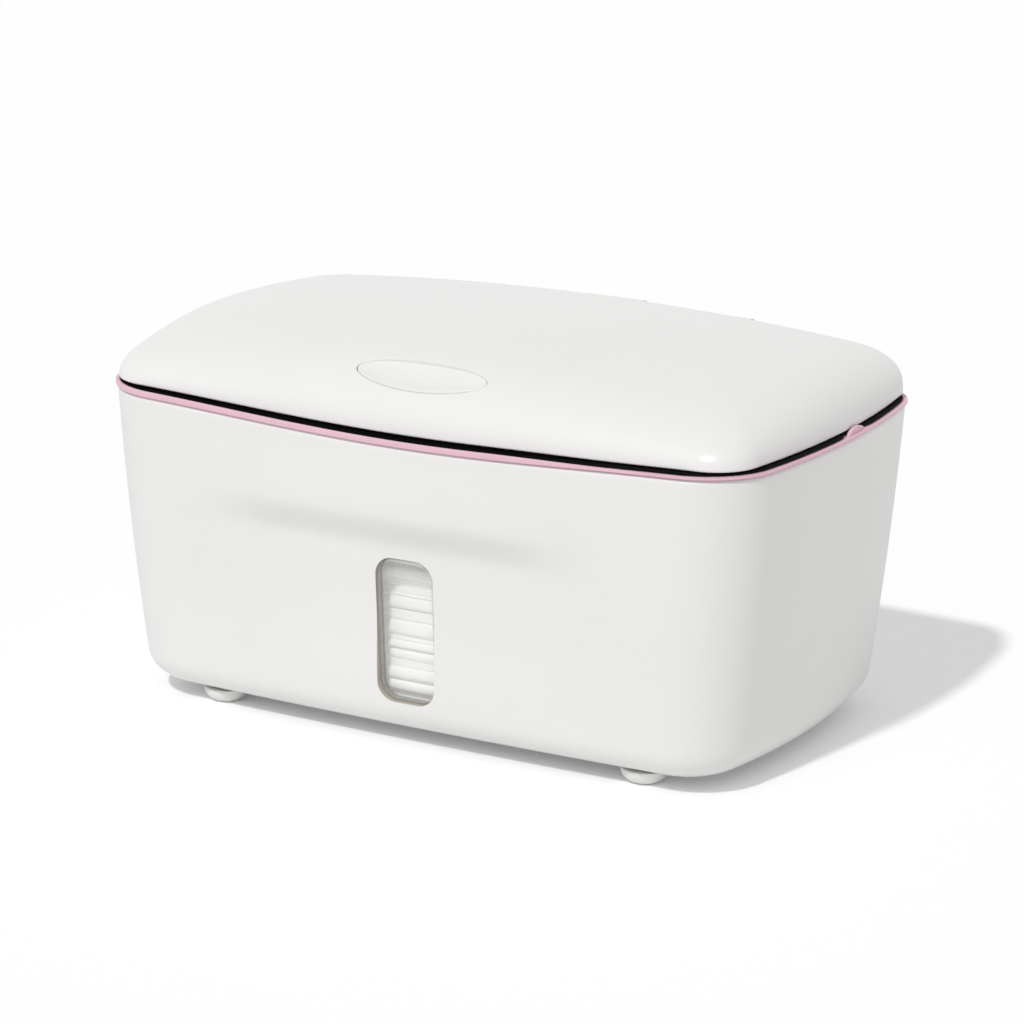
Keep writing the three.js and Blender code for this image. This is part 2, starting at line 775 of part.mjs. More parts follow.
// Seal bonded under the lid's edge, just clear of the ring's seat
function lidSeal() {
  const low = (x) => rimSeam(x) + ringSeat + sealOverSeat;
  const high = (x) => lidEdge(x) - fitGap;
  const section = [
    [sealInnerSetIn, low], [sealOuterSetIn, low], [sealOuterSetIn, high], [sealInnerSetIn, high],
  ];
  const rings = section.map(([setIn, height]) => lidOutline(setIn, setIn).map(
    (p) => new THREE.Vector3(p.x, p.y, height(p.x)),
  ));
  return toSolid(loft(rings, true));
}

// Button: the lid's own surface, dished for the thumb, over a skirt with two spring seats and a post
function button() {
  const solid = lidSolid();
  const outer = ovalShape(buttonHalfLength - slideGap, buttonHalfDepth - slideGap, buttonY);
  const innerSetIn = slideGap + buttonSkirt;
  const inner = ovalShape(buttonHalfLength - innerSetIn, buttonHalfDepth - innerSetIn, buttonY);
  const block = prismZ(outer, buttonBottom, lidHeight).intersect(solid);
  const hollow = prismZ(inner, buttonBottom - overrun, lidHeight)
    .intersect(solid.translate(0, 0, -buttonCapDrop));
  const ball = new THREE.SphereGeometry(dishRadius, 2 * roundSteps, roundSteps);
  ball.scale(dishHalfLength / dishRadius, 1, 1).translate(0, dishCentreY, dishCentreZ);
  const padTop = latchPivotZ + latchArmRise;
  const postTop = buttonSeatBottom + buttonSeatRadius;
  const seats = [-buttonSpringX, buttonSpringX].flatMap((x) => [
    rodZ(buttonSeatRadius - fitGap, buttonSeatBottom, postTop, x, buttonY),
    rodZ(pilotRadius, buttonSeatBottom - pilotHeight, postTop, x, buttonY),
  ]);
  const post = rodZ(buttonPostRadius, buttonBottom - overrun, postTop, 0, buttonY);
  const tip = rodZ(buttonPostTip, padTop + fitGap, postTop, 0, buttonY);
  const capRoom = prismZ(inner, buttonBottom - overrun, lidHeight).intersect(solid);
  const ribs = joined(...seats, post).intersect(capRoom);
  return joined(cutBy(block, hollow), ribs, tip).subtract(toSolid(ball));
}

// Tray: floor, upstanding wall inside the lid, ears for the latch pin and bosses for the springs
function trayOutline(setIn) {
  const inward = lidSetIn + lidWall + fitGap + setIn;
  return outline({
    halfLength: rimHalfLength - inward,
    halfDepth: rimHalfDepth - inward,
    longBow: rimLongBow,
    endBow: rimEndBow,
    corner: rimCornerRadius - inward,
  });
}

function trayRing(setIn, height) {
  return trayOutline(setIn).map((p) => new THREE.Vector3(p.x, p.y, height(p.x)));
}

function tray() {
  const floorTop = trayFloorBottom + trayFloor;
  const wallTop = (x) => lidEdge(x) + trayLap;
  const body = toSolid(loft([
    trayRing(trayEdge, () => trayFloorBottom), trayRing(0, () => trayFloorBottom + trayEdge),
    trayRing(0, wallTop), trayRing(trayWall, wallTop), trayRing(trayWall, () => floorTop),
  ]));
  const halfSlot = latchHalfWidth + earGap;
  const slotFront = latchShankFront - 2 * fitGap;
  const slotRear = latchPivotY - latchEyeRadius - latchArmThickness - earGap;
  const slot = [
    [slotFront, trayFloorBottom - overrun], [slotRear, trayFloorBottom - overrun],
    [slotRear, floorTop + overrun], [slotFront, floorTop + overrun],
  ];
  const earPlaces = [
    -halfSlot - earThickness, halfSlot, halfSlot + earThickness + latchSpringLength + earGap,
  ];
  const ears = earPlaces.map((from) => trayEar(from, from + earThickness, floorTop));
  const bosses = [-buttonSpringX, buttonSpringX].flatMap((x) => [
    rodZ(bossRadius, trayFloorBottom + trayEdge, floorTop + bossHeight, x, buttonY),
    rodZ(pilotRadius, trayFloorBottom + trayEdge, floorTop + bossHeight + pilotHeight, x, buttonY),
  ]);
  const pinLength = earPlaces[2] + 2 * earThickness;
  const bore = rodX(latchPinRadius + fitGap, -pinLength, pinLength, latchPivotY, latchPivotZ);
  return cutBy(joined(body, ...ears, ...bosses), barX(slot, -halfSlot, halfSlot), bore);
}

function trayEar(from, to, floorTop) {
  const half = latchEyeRadius;
  const web = [
    [latchPivotY - half, floorTop - trayEdge], [latchPivotY + half, floorTop - trayEdge],
    [latchPivotY + half, latchPivotZ], [latchPivotY - half, latchPivotZ],
  ];
  return joined(barX(web, from, to), rodX(half, from, to, latchPivotY, latchPivotZ));
}

function latch() {
  const padTop = latchPivotZ + latchArmRise;
  const padLow = padTop - latchArmThickness;
  const shankRear = latchShankFront + latchShankThickness;
  const hookTop = ledgeBottom - fitGap;
  const hookLow = hookTop - latchHookThickness;
  const nose = ledgeReach - latchHookBite;
  const profile = [
    [latchPivotY, padTop], [latchShankFront, padTop], [latchShankFront, hookTop],
    [nose, hookTop], [nose, hookTop - latchHookThickness / 2], [latchShankFront, hookLow],
    [shankRear, hookLow], [shankRear, padLow], [latchPivotY, padLow],
  ];
  const lever = joined(
    barX(profile.reverse(), -latchHalfWidth, latchHalfWidth),
    rodX(latchEyeRadius, -latchHalfWidth, latchHalfWidth, latchPivotY, latchPivotZ),
  );
  const boreHalf = latchHalfWidth + overrun;
  return cutBy(lever, rodX(latchPinRadius + fitGap, -boreHalf, boreHalf, latchPivotY, latchPivotZ));
}

// Stack of wipes: each fold shows as a soft roll along the front and the back
function wipeStack() {
  const low = tubUnderside + floorThickness + fitGap;
  const rise = (stackTop - low) / stackLayers;
  const front = [];
  for (let i = 0; i < stackLayers; i += 1) {
    const foot = stackFootSetIn * Math.max(0, 1 - i / stackFootLayers);
    const reach = stackHalfDepth + stackFoldPlay * Math.sin(i * stackLayers) - foot;
    const bottom = low + rise * i;
    front.push([-(reach - stackFoldBulge), bottom]);
    front.push([-reach, bottom + rise / 3]);
    front.push([-reach, bottom + (2 * rise) / 3]);
  }
  front.push([-(stackHalfDepth - stackFoldBulge), stackTop]);
  const back = front.map(([y, z]) => [-y, z]).reverse();
  return barX([...front, ...back].reverse(), -stackHalfLength, stackHalfLength);
}

// Weighted plate: cover, steel slab, base, and the soft lip that a wipe is drawn through
const plateBottom = stackTop + fitGap;
const plateTop = plateBottom + plateHeight;

function plateShape(setIn) {
  return roundedRectangle(plateHalfLength - setIn, plateHalfDepth - setIn, plateCornerRadius - setIn);
}

function mouthShape(grow) {
  return roundedRectangle(mouthHalfLength + grow, mouthHalfDepth + grow, mouthHalfDepth + grow);
}

function plateCover() {
  const blank = new THREE.ExtrudeGeometry(plateShape(plateEdgeRound), {
    depth: plateHeight - 2 * plateEdgeRound, curveSegments: cornerSteps, bevelEnabled: true,
    bevelThickness: plateEdgeRound, bevelSize: plateEdgeRound, bevelSegments: 2,
  });
  blank.translate(0, 0, plateBottom + plateEdgeRound);
  const room = prismZ(plateShape(plateSkin), plateBottom - overrun, plateTop - plateSkin);
  const collar = prismZ(mouthShape(mouthCollar), plateBottom - overrun, plateTop);
  const mouth = prismZ(mouthShape(0), plateBottom - overrun, plateTop + overrun);
  return cutBy(toSolid(blank), cutBy(room, collar), mouth);
}

function plateBase() {
  const blank = prismZ(plateShape(plateSkin + fitGap), plateBottom, plateBottom + plateSkin);
  const hole = prismZ(mouthShape(mouthCollar + fitGap), plateBottom - overrun, plateTop);
  return cutBy(blank, hole);
}

function steelWeight() {
  const low = plateBottom + plateSkin + fitGap;
  const blank = prismZ(plateShape(weightSetIn), low, low + weightThickness);
  const hole = prismZ(mouthShape(mouthCollar + weightSetIn / 2), plateBottom, plateTop);
  return cutBy(blank, hole);
}

function pullLip() {
  const flangeLow = plateTop + fitGap;
  const flangeTop = flangeLow + lipFlangeThickness;
  const body = prismZ(mouthShape(-fitGap), plateBottom, flangeTop);
  const flange = prismZ(mouthShape(lipFlange), flangeLow, flangeTop);
  const slot = roundedRectangle(slotHalfLength, slotHalfDepth, slotHalfDepth);
  return cutBy(joined(body, flange), prismZ(slot, plateBottom - overrun, flangeTop + overrun));
}

// Assembly
const dispenser = new THREE.Group();
const whitePlastic = () => plastic(0xf1f0ee, 0.28);
const pinkSilicone = () => plastic(0xecb9cd, 0.55);

function addMesh(name, mesh) {
  mesh.name = name;
  dispenser.add(mesh);
  return mesh;
}

function addPiece(name, solid, material) {
  const geometry = toCreasedNormals(toGeometry(solid), creaseAngle);
  return addMesh(name, new THREE.Mesh(geometry, material));
}

addPiece('tub', tub(), whitePlastic());
addMesh('window_pane', windowPane());
addPiece('rim_ring', joined(rimRing(), pullTab()), pinkSilicone());
const footNames = ['foot_front_left', 'foot_front_right', 'foot_rear_left', 'foot_rear_right'];
footPlaces().forEach(([x, y], i) => {
  addMesh(footNames[i], new THREE.Mesh(foot(), plastic(0xeceae6, 0.6))).position.set(x, y, 0);
});
const hingePin = rodX(hingePinRadius, -hingePinHalfLength, hingePinHalfLength, hingeY, hingeZ);
addPiece('hinge_pin', hingePin, steel(0.3));

const hingeSpringLength = 2 * (springPocketHalfLength - fitGap);
const hingeCoil = coil(hingeSpringRadius, hingeSpringWire, hingeSpringLength, hingeSpringTurns);
const hingeSpring = new THREE.Mesh(hingeCoil, steel(0.35));
hingeSpring.rotation.y = Math.PI / 2;
hingeSpring.position.set(-hingeSpringLength / 2, hingeY, hingeZ);
addMesh('hinge_spring', hingeSpring);

addPiece('wipe_stack', wipeStack(), plastic(0xf4f3f0, 0.9));
addPiece('plate_cover', plateCover(), whitePlastic());
addPiece('plate_base', plateBase(), whitePlastic());
addPiece('steel_weight', steelWeight(), steel(0.5));
addPiece('pull_lip', pullLip(), pinkSilicone());

addPiece('lid_shell', lidShell(), whitePlastic());
addPiece('lid_tray', tray(), whitePlastic());
addPiece('lid_seal', lidSeal(), plastic(0x0a0a0a, 0.8));
addPiece('button', button(), whitePlastic());
const seatLow = trayFloorBottom + trayFloor + bossHeight + fitGap;
const buttonSpringLength = buttonSeatBottom - fitGap - seatLow;
const buttonSpringTurns = Math.floor((buttonSpringLength - 3 * buttonSpringWire) / buttonSpringPitch);
[['button_spring_left', -buttonSpringX], ['button_spring_right', buttonSpringX]].forEach(([name, x]) => {
  const wound = coil(buttonSpringRadius, buttonSpringWire, buttonSpringLength, buttonSpringTurns);
  addMesh(name, new THREE.Mesh(wound, steel(0.35))).position.set(x, buttonY, seatLow);
});
addPiece('latch', latch(), plastic(0xe9e8e5, 0.4));
const earSide = latchHalfWidth + earGap + earThickness;
const pinTo = earSide + latchSpringLength + earGap + earThickness;
addPiece('latch_pin', rodX(latchPinRadius, -earSide, pinTo, latchPivotY, latchPivotZ), steel(0.3));
const latchCoil = coil(latchSpringRadius, latchSpringWire, latchSpringLength, latchSpringTurns);
const latchSpring = new THREE.Mesh(latchCoil, steel(0.35));
latchSpring.rotation.y = Math.PI / 2;
latchSpring.position.set(earSide + earGap / 2, latchPivotY, latchPivotZ);
addMesh('latch_spring', latchSpring);

// The hinge stands out behind, so the whole object's middle lies a little behind the tub's
dispenser.position.y = (rimHalfDepth - hingeY - middleKnuckleRadius) / 2;

export default dispenser;
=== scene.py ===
import json
import math

import bpy
from mathutils import Matrix, Vector
from mathutils.bvhtree import BVHTree


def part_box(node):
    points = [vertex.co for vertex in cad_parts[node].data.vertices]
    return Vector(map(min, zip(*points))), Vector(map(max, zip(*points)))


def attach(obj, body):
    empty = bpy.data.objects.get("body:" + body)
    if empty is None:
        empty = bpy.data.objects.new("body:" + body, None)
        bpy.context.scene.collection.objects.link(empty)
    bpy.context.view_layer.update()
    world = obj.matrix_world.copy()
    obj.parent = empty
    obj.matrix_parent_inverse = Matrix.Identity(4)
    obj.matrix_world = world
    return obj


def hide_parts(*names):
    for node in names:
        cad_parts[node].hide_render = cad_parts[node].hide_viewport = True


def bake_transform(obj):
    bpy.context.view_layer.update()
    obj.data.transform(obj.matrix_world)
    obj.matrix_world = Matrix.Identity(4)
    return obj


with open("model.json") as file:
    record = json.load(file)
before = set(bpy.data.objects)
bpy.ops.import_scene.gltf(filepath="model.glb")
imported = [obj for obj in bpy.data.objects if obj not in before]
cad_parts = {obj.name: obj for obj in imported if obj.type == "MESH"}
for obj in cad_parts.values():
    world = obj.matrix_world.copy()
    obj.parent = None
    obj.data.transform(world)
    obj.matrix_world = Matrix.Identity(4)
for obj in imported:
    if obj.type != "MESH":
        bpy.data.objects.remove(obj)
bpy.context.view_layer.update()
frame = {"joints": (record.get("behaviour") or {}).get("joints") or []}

# Camera
# It stands where the photograph was taken from, a good metre off, a little to the right and above.
# Its long lens keeps the tub's upright lines nearly parallel.
camera_place = Vector((0.56466, -0.99953, 0.38294))
camera_turn, camera_rise, camera_tilt = 0.51454, 0.27422, 0.00904
lens_pixels, frame_pixels, sensor_width = 3780.18, 1024, 36.0

bpy.ops.object.camera_add(location=camera_place)
camera = bpy.context.object
camera.name = "camera"
camera.matrix_world = (
    Matrix.Translation(camera_place) @ Matrix.Rotation(camera_turn, 4, "Z")
    @ Matrix.Rotation(math.pi / 2 - camera_rise, 4, "X") @ Matrix.Rotation(camera_tilt, 4, "Z")
)
camera.data.sensor_width = sensor_width
camera.data.lens = lens_pixels / frame_pixels * sensor_width
bpy.context.scene.camera = camera


# Tub
# A tapered box moulded in one piece from glossy white plastic, with round bottom edges and a rim that
# dips along its long sides. The hinge bracket behind and the latch ledge inside are part of it.
class Wire:
    """A socket of a material's nodes. Python's operators on it add Math nodes."""

    def __init__(self, tree, socket):
        self.tree, self.socket = tree, socket

    def node(self, kind, settings, inputs, output=0):
        made = self.tree.nodes.new(kind)
        for name, value in settings.items():
            setattr(made, name, value)
        for name, value in inputs.items():
            if isinstance(value, Wire):
                self.tree.links.new(value.socket, made.inputs[name])
            else:
                made.inputs[name].default_value = value
        return Wire(self.tree, made.outputs[output])

    def maths(self, operation, first, second):
        return self.node("ShaderNodeMath", {"operation": operation}, {0: first, 1: second})

    def __add__(self, other):
        return self.maths("ADD", self, other)

    def __sub__(self, other):
        return self.maths("SUBTRACT", self, other)

    def __mul__(self, other):
        return self.maths("MULTIPLY", self, other)

    def __rsub__(self, other):
        return self.maths("SUBTRACT", other, self)

    __radd__ = __add__
    __rmul__ = __mul__

    def noise(self, scale, detail=2.0):
        return self.node("ShaderNodeTexNoise", {}, {"Vector": self, "Scale": scale, "Detail": detail})

    def blended(self, first, second):
        """Colour between two colours, by this value. The Mix node's colour sockets go by number."""
        first, second = (c if isinstance(c, Wire) else (*c, 1) for c in (first, second))
        return self.node("ShaderNodeMix", {"data_type": "RGBA"}, {0: self, 6: first, 7: second}, 2)

    def size(self):
        """The value without its sign"""
        return self.maths("MAXIMUM", self, 0 - self)

    def between(self, low, high):
        """0 below low, 1 above high, and a smooth rise between"""
        return self.node("ShaderNodeMapRange", {"interpolation_type": "SMOOTHSTEP"}, {
            "Value": self, "From Min": low, "From Max": high,
        })


class Finish:
    """A new material: its shader's sockets are set by name, and place gives Object coordinates"""

    def __init__(self, name, **sockets):
        self.material = bpy.data.materials.new(name)
        self.material.use_nodes = True
        self.tree = self.material.node_tree
        self.shader = self.tree.nodes["Principled BSDF"]
        coordinates = self.tree.nodes.new("ShaderNodeTexCoord")
        self.place = Wire(self.tree, coordinates.outputs["Object"])
        self.bump = None
        self.feed(**sockets)

    def along(self, axis):
        """Object coordinate on one axis: 0, 1 or 2"""
        return self.place.node("ShaderNodeSeparateXYZ", {}, {"Vector": self.place}, axis)

    def feed(self, **sockets):
        for name, value in sockets.items():
            socket = self.shader.inputs[name.replace("_", " ")]
            if isinstance(value, Wire):
                self.tree.links.new(value.socket, socket)
            else:
                socket.default_value = value

    def relief(self, height, depth):
        """A relief of this height and depth, over the ones that are there already"""
        settings = {"Height": height, "Distance": depth}
        if self.bump:
            settings["Normal"] = self.bump
        self.bump = self.place.node("ShaderNodeBump", {}, settings)
        self.feed(Normal=self.bump)


def moulded(name, light, shade, roughness):
    """Smooth moulded plastic: a slow drift of tone and gloss, and a very fine skin"""
    finish = Finish(name)
    cloud = finish.place.noise(90.0, 4.0)
    finish.tone = finish.place.noise(14.0).between(0.35, 0.65).blended(light, shade)
    finish.feed(Base_Color=finish.tone, Roughness=roughness - 0.03 + 0.06 * cloud)
    finish.relief(finish.place.noise(2600.0, 3.0), 0.00001)
    return finish


def deselect():
    bpy.ops.object.select_all(action="DESELECT")


def pick(piece):
    deselect()
    piece.select_set(True)
    bpy.context.view_layer.objects.active = piece


def edit(piece):
    pick(piece)
    bpy.ops.object.mode_set(mode="EDIT")
    bpy.ops.mesh.select_all(action="SELECT")


def finish_edit():
    bpy.ops.object.mode_set(mode="OBJECT")


def modify(piece, kind, **settings):
    """Adds a modifier and applies it"""
    pick(piece)
    modifier = piece.modifiers.new(kind, kind)
    for name, value in settings.items():
        setattr(modifier, name, value)
    bpy.ops.object.modifier_apply(modifier=modifier.name)


def boolean(piece, operation, *tools):
    for tool in tools:
        modify(piece, "BOOLEAN", operation=operation, object=tool, solver="EXACT")
        bpy.data.objects.remove(tool)


def round_edges(piece, width, segments, degrees=50):
    """Bevels the edges that are sharper than this"""
    modify(
        piece, "BEVEL", width=width, segments=segments, limit_method="ANGLE",
        angle_limit=math.radians(degrees),
    )


def smooth(piece, degrees=35):
    pick(piece)
    bpy.ops.object.shade_smooth_by_angle(angle=math.radians(degrees))


def smooth_moulding(piece):
    """Smooth shading that keeps the broad walls even up to their rounded edges"""
    smooth(piece)
    modify(piece, "WEIGHTED_NORMAL", keep_sharp=True)


def dress(piece, material):
    piece.data.materials.clear()
    piece.data.materials.append(material)


def join(first, *others):
    deselect()
    for piece in (first, *others):
        piece.select_set(True)
    bpy.context.view_layer.objects.active = first
    bpy.ops.object.join()


def wrapped(name, rings):
    """A skin through rings of points: a grid is rolled up, and its open ends are filled"""
    around = len(rings[0])
    deselect()
    bpy.ops.mesh.primitive_grid_add(x_subdivisions=around, y_subdivisions=len(rings) - 1)
    piece = bpy.context.object
    piece.name = name
    for i, vertex in enumerate(piece.data.vertices):
        ring, place = divmod(i, around + 1)
        vertex.co = rings[ring][place % around]
    edit(piece)
    bpy.ops.mesh.remove_doubles(threshold=0.000002)
    bpy.ops.mesh.fill_holes(sides=0)
    bpy.ops.mesh.normals_make_consistent(inside=False)
    finish_edit()
    piece.matrix_world = Matrix.Identity(4)
    return piece


def drawn(name, profile, start, stop):
    """A profile of (y, z) points, drawn out along X"""
    deselect()
    bpy.ops.mesh.primitive_circle_add(vertices=len(profile), fill_type="NGON")
    piece = bpy.context.object
    piece.name = name
    for vertex, (y, z) in zip(piece.data.vertices, profile):
        vertex.co = (start, y, z)
    edit(piece)
    bpy.ops.mesh.extrude_region_move(TRANSFORM_OT_translate={"value": (stop - start, 0, 0)})
    bpy.ops.mesh.select_all(action="SELECT")
    bpy.ops.mesh.normals_make_consistent(inside=False)
    finish_edit()
    return piece


def bar(name, radius, length, middle, turn, sides):
    deselect()
    bpy.ops.mesh.primitive_cylinder_add(
        vertices=sides, radius=radius, depth=length, location=middle, rotation=(0, turn, 0),
    )
    piece = bpy.context.object
    piece.name = name
    bpy.ops.object.transform_apply()
    return piece


def rod(name, radius, start, stop, y, z, sides=48):
    """A round bar along X"""
    return bar(name, radius, stop - start, ((start + stop) / 2, y, z), math.pi / 2, sides)


def post(name, radius, low, high, x, y, sides=48):
    """A round bar along Z"""
    return bar(name, radius, high - low, (x, y, (low + high) / 2), 0, sides)


def mix(start, stop, share):
    return start + (stop - start) * share


def rise(low, high, value):
    share = min(max((value - low) / (high - low), 0), 1)
    return share * share * (3 - 2 * share)


def shares(count):
    return [i / count for i in range(count + 1)]


def bend(radius, steps):
    """Steps round a quarter circle, each as its distances from the circle's two tangents"""
    angles = [share * math.pi / 2 for share in shares(steps)]
    return [(radius * (1 - math.sin(a)), radius * (1 - math.cos(a))) for a in angles]


def arc(centre, radius, start, stop, count):
    angles = [mix(start, stop, i / count) for i in range(count)]
    return [Vector((centre.x + radius * math.cos(a), centre.y + radius * math.sin(a))) for a in angles]


def heading(vector):
    return math.atan2(vector.y, vector.x) % (2 * math.pi)


def outline(half_length, half_depth, long_bow, end_bow, corner):
    """A rectangle whose four sides bow out, each an arc, with round corners, as (x, y) points"""
    long_steps, corner_steps, end_steps = 26, 20, 12
    long_radius = (half_length ** 2 + long_bow ** 2) / (2 * long_bow)
    end_radius = (half_depth ** 2 + end_bow ** 2) / (2 * end_bow)
    long_centre = Vector((0, long_radius - half_depth))
    end_centre = Vector((half_length - end_radius, 0))
    between = end_centre - long_centre
    gap = between.length
    along = ((long_radius - corner) ** 2 - (end_radius - corner) ** 2 + gap ** 2) / (2 * gap)
    aside = math.sqrt((long_radius - corner) ** 2 - along ** 2)
    unit = between / gap
    corner_centre = long_centre + along * unit + aside * Vector((-unit.y, unit.x))
    long_end = heading(corner_centre - long_centre)
    end_start = heading(corner_centre - end_centre)
    quarter = [
        *arc(long_centre, long_radius, 1.5 * math.pi, long_end, long_steps),
        *arc(corner_centre, corner, long_end, end_start, corner_steps),
        *arc(end_centre, end_radius, end_start, 2 * math.pi, end_steps),
        Vector((half_length, 0)),
    ]
    right = quarter + [Vector((p.x, -p.y)) for p in reversed(quarter[:-1])]
    return right + [Vector((-p.x, p.y)) for p in reversed(right[1:-1])]


ring_low, ring_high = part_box("rim_ring")
rim_half_length = (ring_high.x - ring_low.x) / 2
rim_half_depth = (ring_high.y - ring_low.y) / 2
tub_y = (ring_low.y + ring_high.y) / 2
rim_height, rim_dip = 0.1002, 0.00346
rim_bows, rim_corner = (0.00246, 0.00754), 0.0235
tub_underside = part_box("tub")[0].z
base_half_length, base_half_depth = rim_half_length - 0.0091, rim_half_depth - 0.00625
base_corner, base_edge = 0.0203, 0.0091
wall, floor_thickness, wall_bow = 0.0025, 0.003, 0.00067
proud_ends, proud_sides, seam_gap, lip_radius = 0.00065, 0.00025, 0.0002, 0.0016
fit_gap = 0.0003
brow_x, brow_ends = -0.005, (0.034, 0.074)
stand_back, stand_back_foot, brow_flank = 0.0015, (0.016, 0.044), (0.063, 0.0755)
brow_swell, swell_fade, brow_shade = 0.001, (0.0765, 0.096), 0.0018


def dip_share(x):
    return math.cos(min(max(x / rim_half_length, -1), 1) * math.pi / 2) ** 2


def seam(x):
    return rim_height - rim_dip * dip_share(x)


def wall_size(z, inward):
    share = (z - tub_underside) / (rim_height - tub_underside)
    bow = 4 * wall_bow * share * (1 - share) - inward
    return {
        "half_length": mix(base_half_length, rim_half_length - proud_ends, share) + bow,
        "half_depth": mix(base_half_depth, rim_half_depth - proud_sides, share) + bow,
        "long_bow": rim_bows[0],
        "end_bow": rim_bows[1],
        "corner": mix(base_corner, rim_corner, share) - inward,
    }


def brow_relief(x, z):
    """A soft brow swells forward, and below it the front wall stands back until near the base"""
    across, above = 1 - rise(*brow_ends, abs(x - brow_x)), rise(*brow_flank, z)
    below = (1 - above) * rise(*stand_back_foot, z)
    return across * (stand_back * below - brow_swell * (above * (1 - rise(*swell_fade, z))))


def wall_ring(share, inward, drop, bottom, brow=False):
    level = mix(bottom, rim_height - drop, share)
    there = wall_size(level, inward)
    ring = []
    for p in outline(**there):
        z = mix(bottom, seam(p.x) - drop, share)
        here = wall_size(z, inward)
        x = p.x * here["half_length"] / there["half_length"]
        y = p.y * here["half_depth"] / there["half_depth"]
        relief = brow_relief(x, z) if brow and y < 0 else 0
        ring.append(Vector((x, y + relief + tub_y, z)))
    return ring


def flat_ring(z, inward, set_in):
    size = wall_size(z, inward)
    size["half_length"] -= set_in
    size["half_depth"] -= set_in
    size["corner"] -= set_in
    return [Vector((p.x, p.y + tub_y, z)) for p in outline(**size)]


def fillet_rings(bottom, radius, inward, steps):
    return [flat_ring(bottom + up, inward, set_in) for set_in, up in bend(radius, steps)[:-1]]


outer_foot = tub_underside + base_edge
floor_top = tub_underside + floor_thickness
inner_edge = base_edge - wall
inner_foot = floor_top + inner_edge
inner_lip = 0.0005
tub = wrapped("tub_body", [
    *fillet_rings(tub_underside, base_edge, 0, 12),
    *[wall_ring(share, 0, seam_gap + lip_radius, outer_foot, True) for share in shares(44)],
    *[wall_ring(1, set_in, seam_gap + drop, outer_foot, True) for drop, set_in in bend(lip_radius, 8)[1:]],
    wall_ring(1, wall - inner_lip, seam_gap, inner_foot),
    wall_ring(1, wall, seam_gap + inner_lip, inner_foot),
    *[wall_ring(1 - share, wall, seam_gap + inner_lip, inner_foot) for share in shares(16)[1:]],
    *reversed(fillet_rings(floor_top, inner_edge, wall, 6)),
])

window_half_width, window_bottom, window_top, window_corner = 0.010, 0.015, 0.061, 0.006
window_half_height, window_middle = (window_top - window_bottom) / 2, (window_top + window_bottom) / 2
window_edge = 0.0002


def rounded(half_width, half_height, radius, steps=12):
    """A rectangle with round corners, as points in its own plane"""
    x, y = half_width - radius, half_height - radius
    return [
        *arc(Vector((x, -y)), radius, -math.pi / 2, 0, steps), Vector((half_width, -y)),
        *arc(Vector((x, y)), radius, 0, math.pi / 2, steps), Vector((x, half_height)),
        *arc(Vector((-x, y)), radius, math.pi / 2, math.pi, steps), Vector((-half_width, y)),
        *arc(Vector((-x, -y)), radius, math.pi, 1.5 * math.pi, steps), Vector((-x, -half_height)),
    ]


def front_wall(x, z):
    size = wall_size(z, 0)
    bow = size["long_bow"] * (x / size["half_length"]) ** 2
    return tub_y - size["half_depth"] + bow + brow_relief(x, z)


def window_ring(grow, depth):
    ring = rounded(window_half_width + grow, window_half_height + grow, window_corner + grow)
    return [
        Vector((p.x, front_wall(p.x, p.y + window_middle) + depth, p.y + window_middle)) for p in ring
    ]


boolean(tub, "DIFFERENCE", wrapped("window_cutter", [
    window_ring(window_edge + 0.0002, -0.0006),
    *[window_ring(grow, depth) for grow, depth in bend(window_edge, 4)],
    window_ring(0, 2 * wall),
]))

pivots = {joint["name"]: joint.get("pos_m") for joint in frame["joints"]}
hinge_y, hinge_z = pivots["lid_hinge"][1:]
pin_radius, pin_half = 0.0015, 0.0494
knuckle_half, knuckle_radius = 0.011, 0.0054
outer_knuckle, outer_knuckle_radius = (0.0445, 0.050), 0.004
bracket_bottom, bracket_top = rim_height - 0.0182, rim_height + 0.0028
bracket_front, bracket_depth = tub_y + rim_half_depth + 0.0004, 0.0048
bracket_rear = bracket_front + bracket_depth
pocket_radius, pocket_half = 0.0036, 0.008


def hinge_bracket():
    in_wall = tub_y + wall_size(bracket_bottom, wall / 2)["half_depth"]
    under_ring = rim_height - rim_dip - 2 * fit_gap
    foot = drawn("hinge_foot", [
        (in_wall, bracket_bottom),
        (bracket_front + 0.0014, mix(bracket_bottom, bracket_top, 0.35)),
        (bracket_rear, mix(bracket_bottom, bracket_top, 0.75)),
        (bracket_rear, bracket_top), (bracket_front, bracket_top),
        (bracket_front, under_ring), (in_wall, under_ring),
    ], -outer_knuckle[1], outer_knuckle[1])
    knuckles = []
    for start, stop, radius in (
        (-knuckle_half, knuckle_half, knuckle_radius),
        (*outer_knuckle, outer_knuckle_radius),
        (-outer_knuckle[1], -outer_knuckle[0], outer_knuckle_radius),
    ):
        web = drawn("web", [
            (bracket_front, under_ring), (bracket_rear, under_ring),
            (bracket_rear - fit_gap, hinge_z), (bracket_front, hinge_z),
        ], start, stop)
        boolean(web, "UNION", rod("knuckle", radius, start, stop, hinge_y, hinge_z))
        knuckles.append(web)
    boolean(foot, "UNION", *knuckles)
    reach = outer_knuckle[1] + wall
    boolean(
        foot, "DIFFERENCE",
        rod("bore", pin_radius + fit_gap / 2, -reach, reach, hinge_y, hinge_z),
        rod("pocket", pocket_radius, -pocket_half, pocket_half, hinge_y, hinge_z),
    )
    round_edges(foot, 0.0004, 3, 40)
    return foot


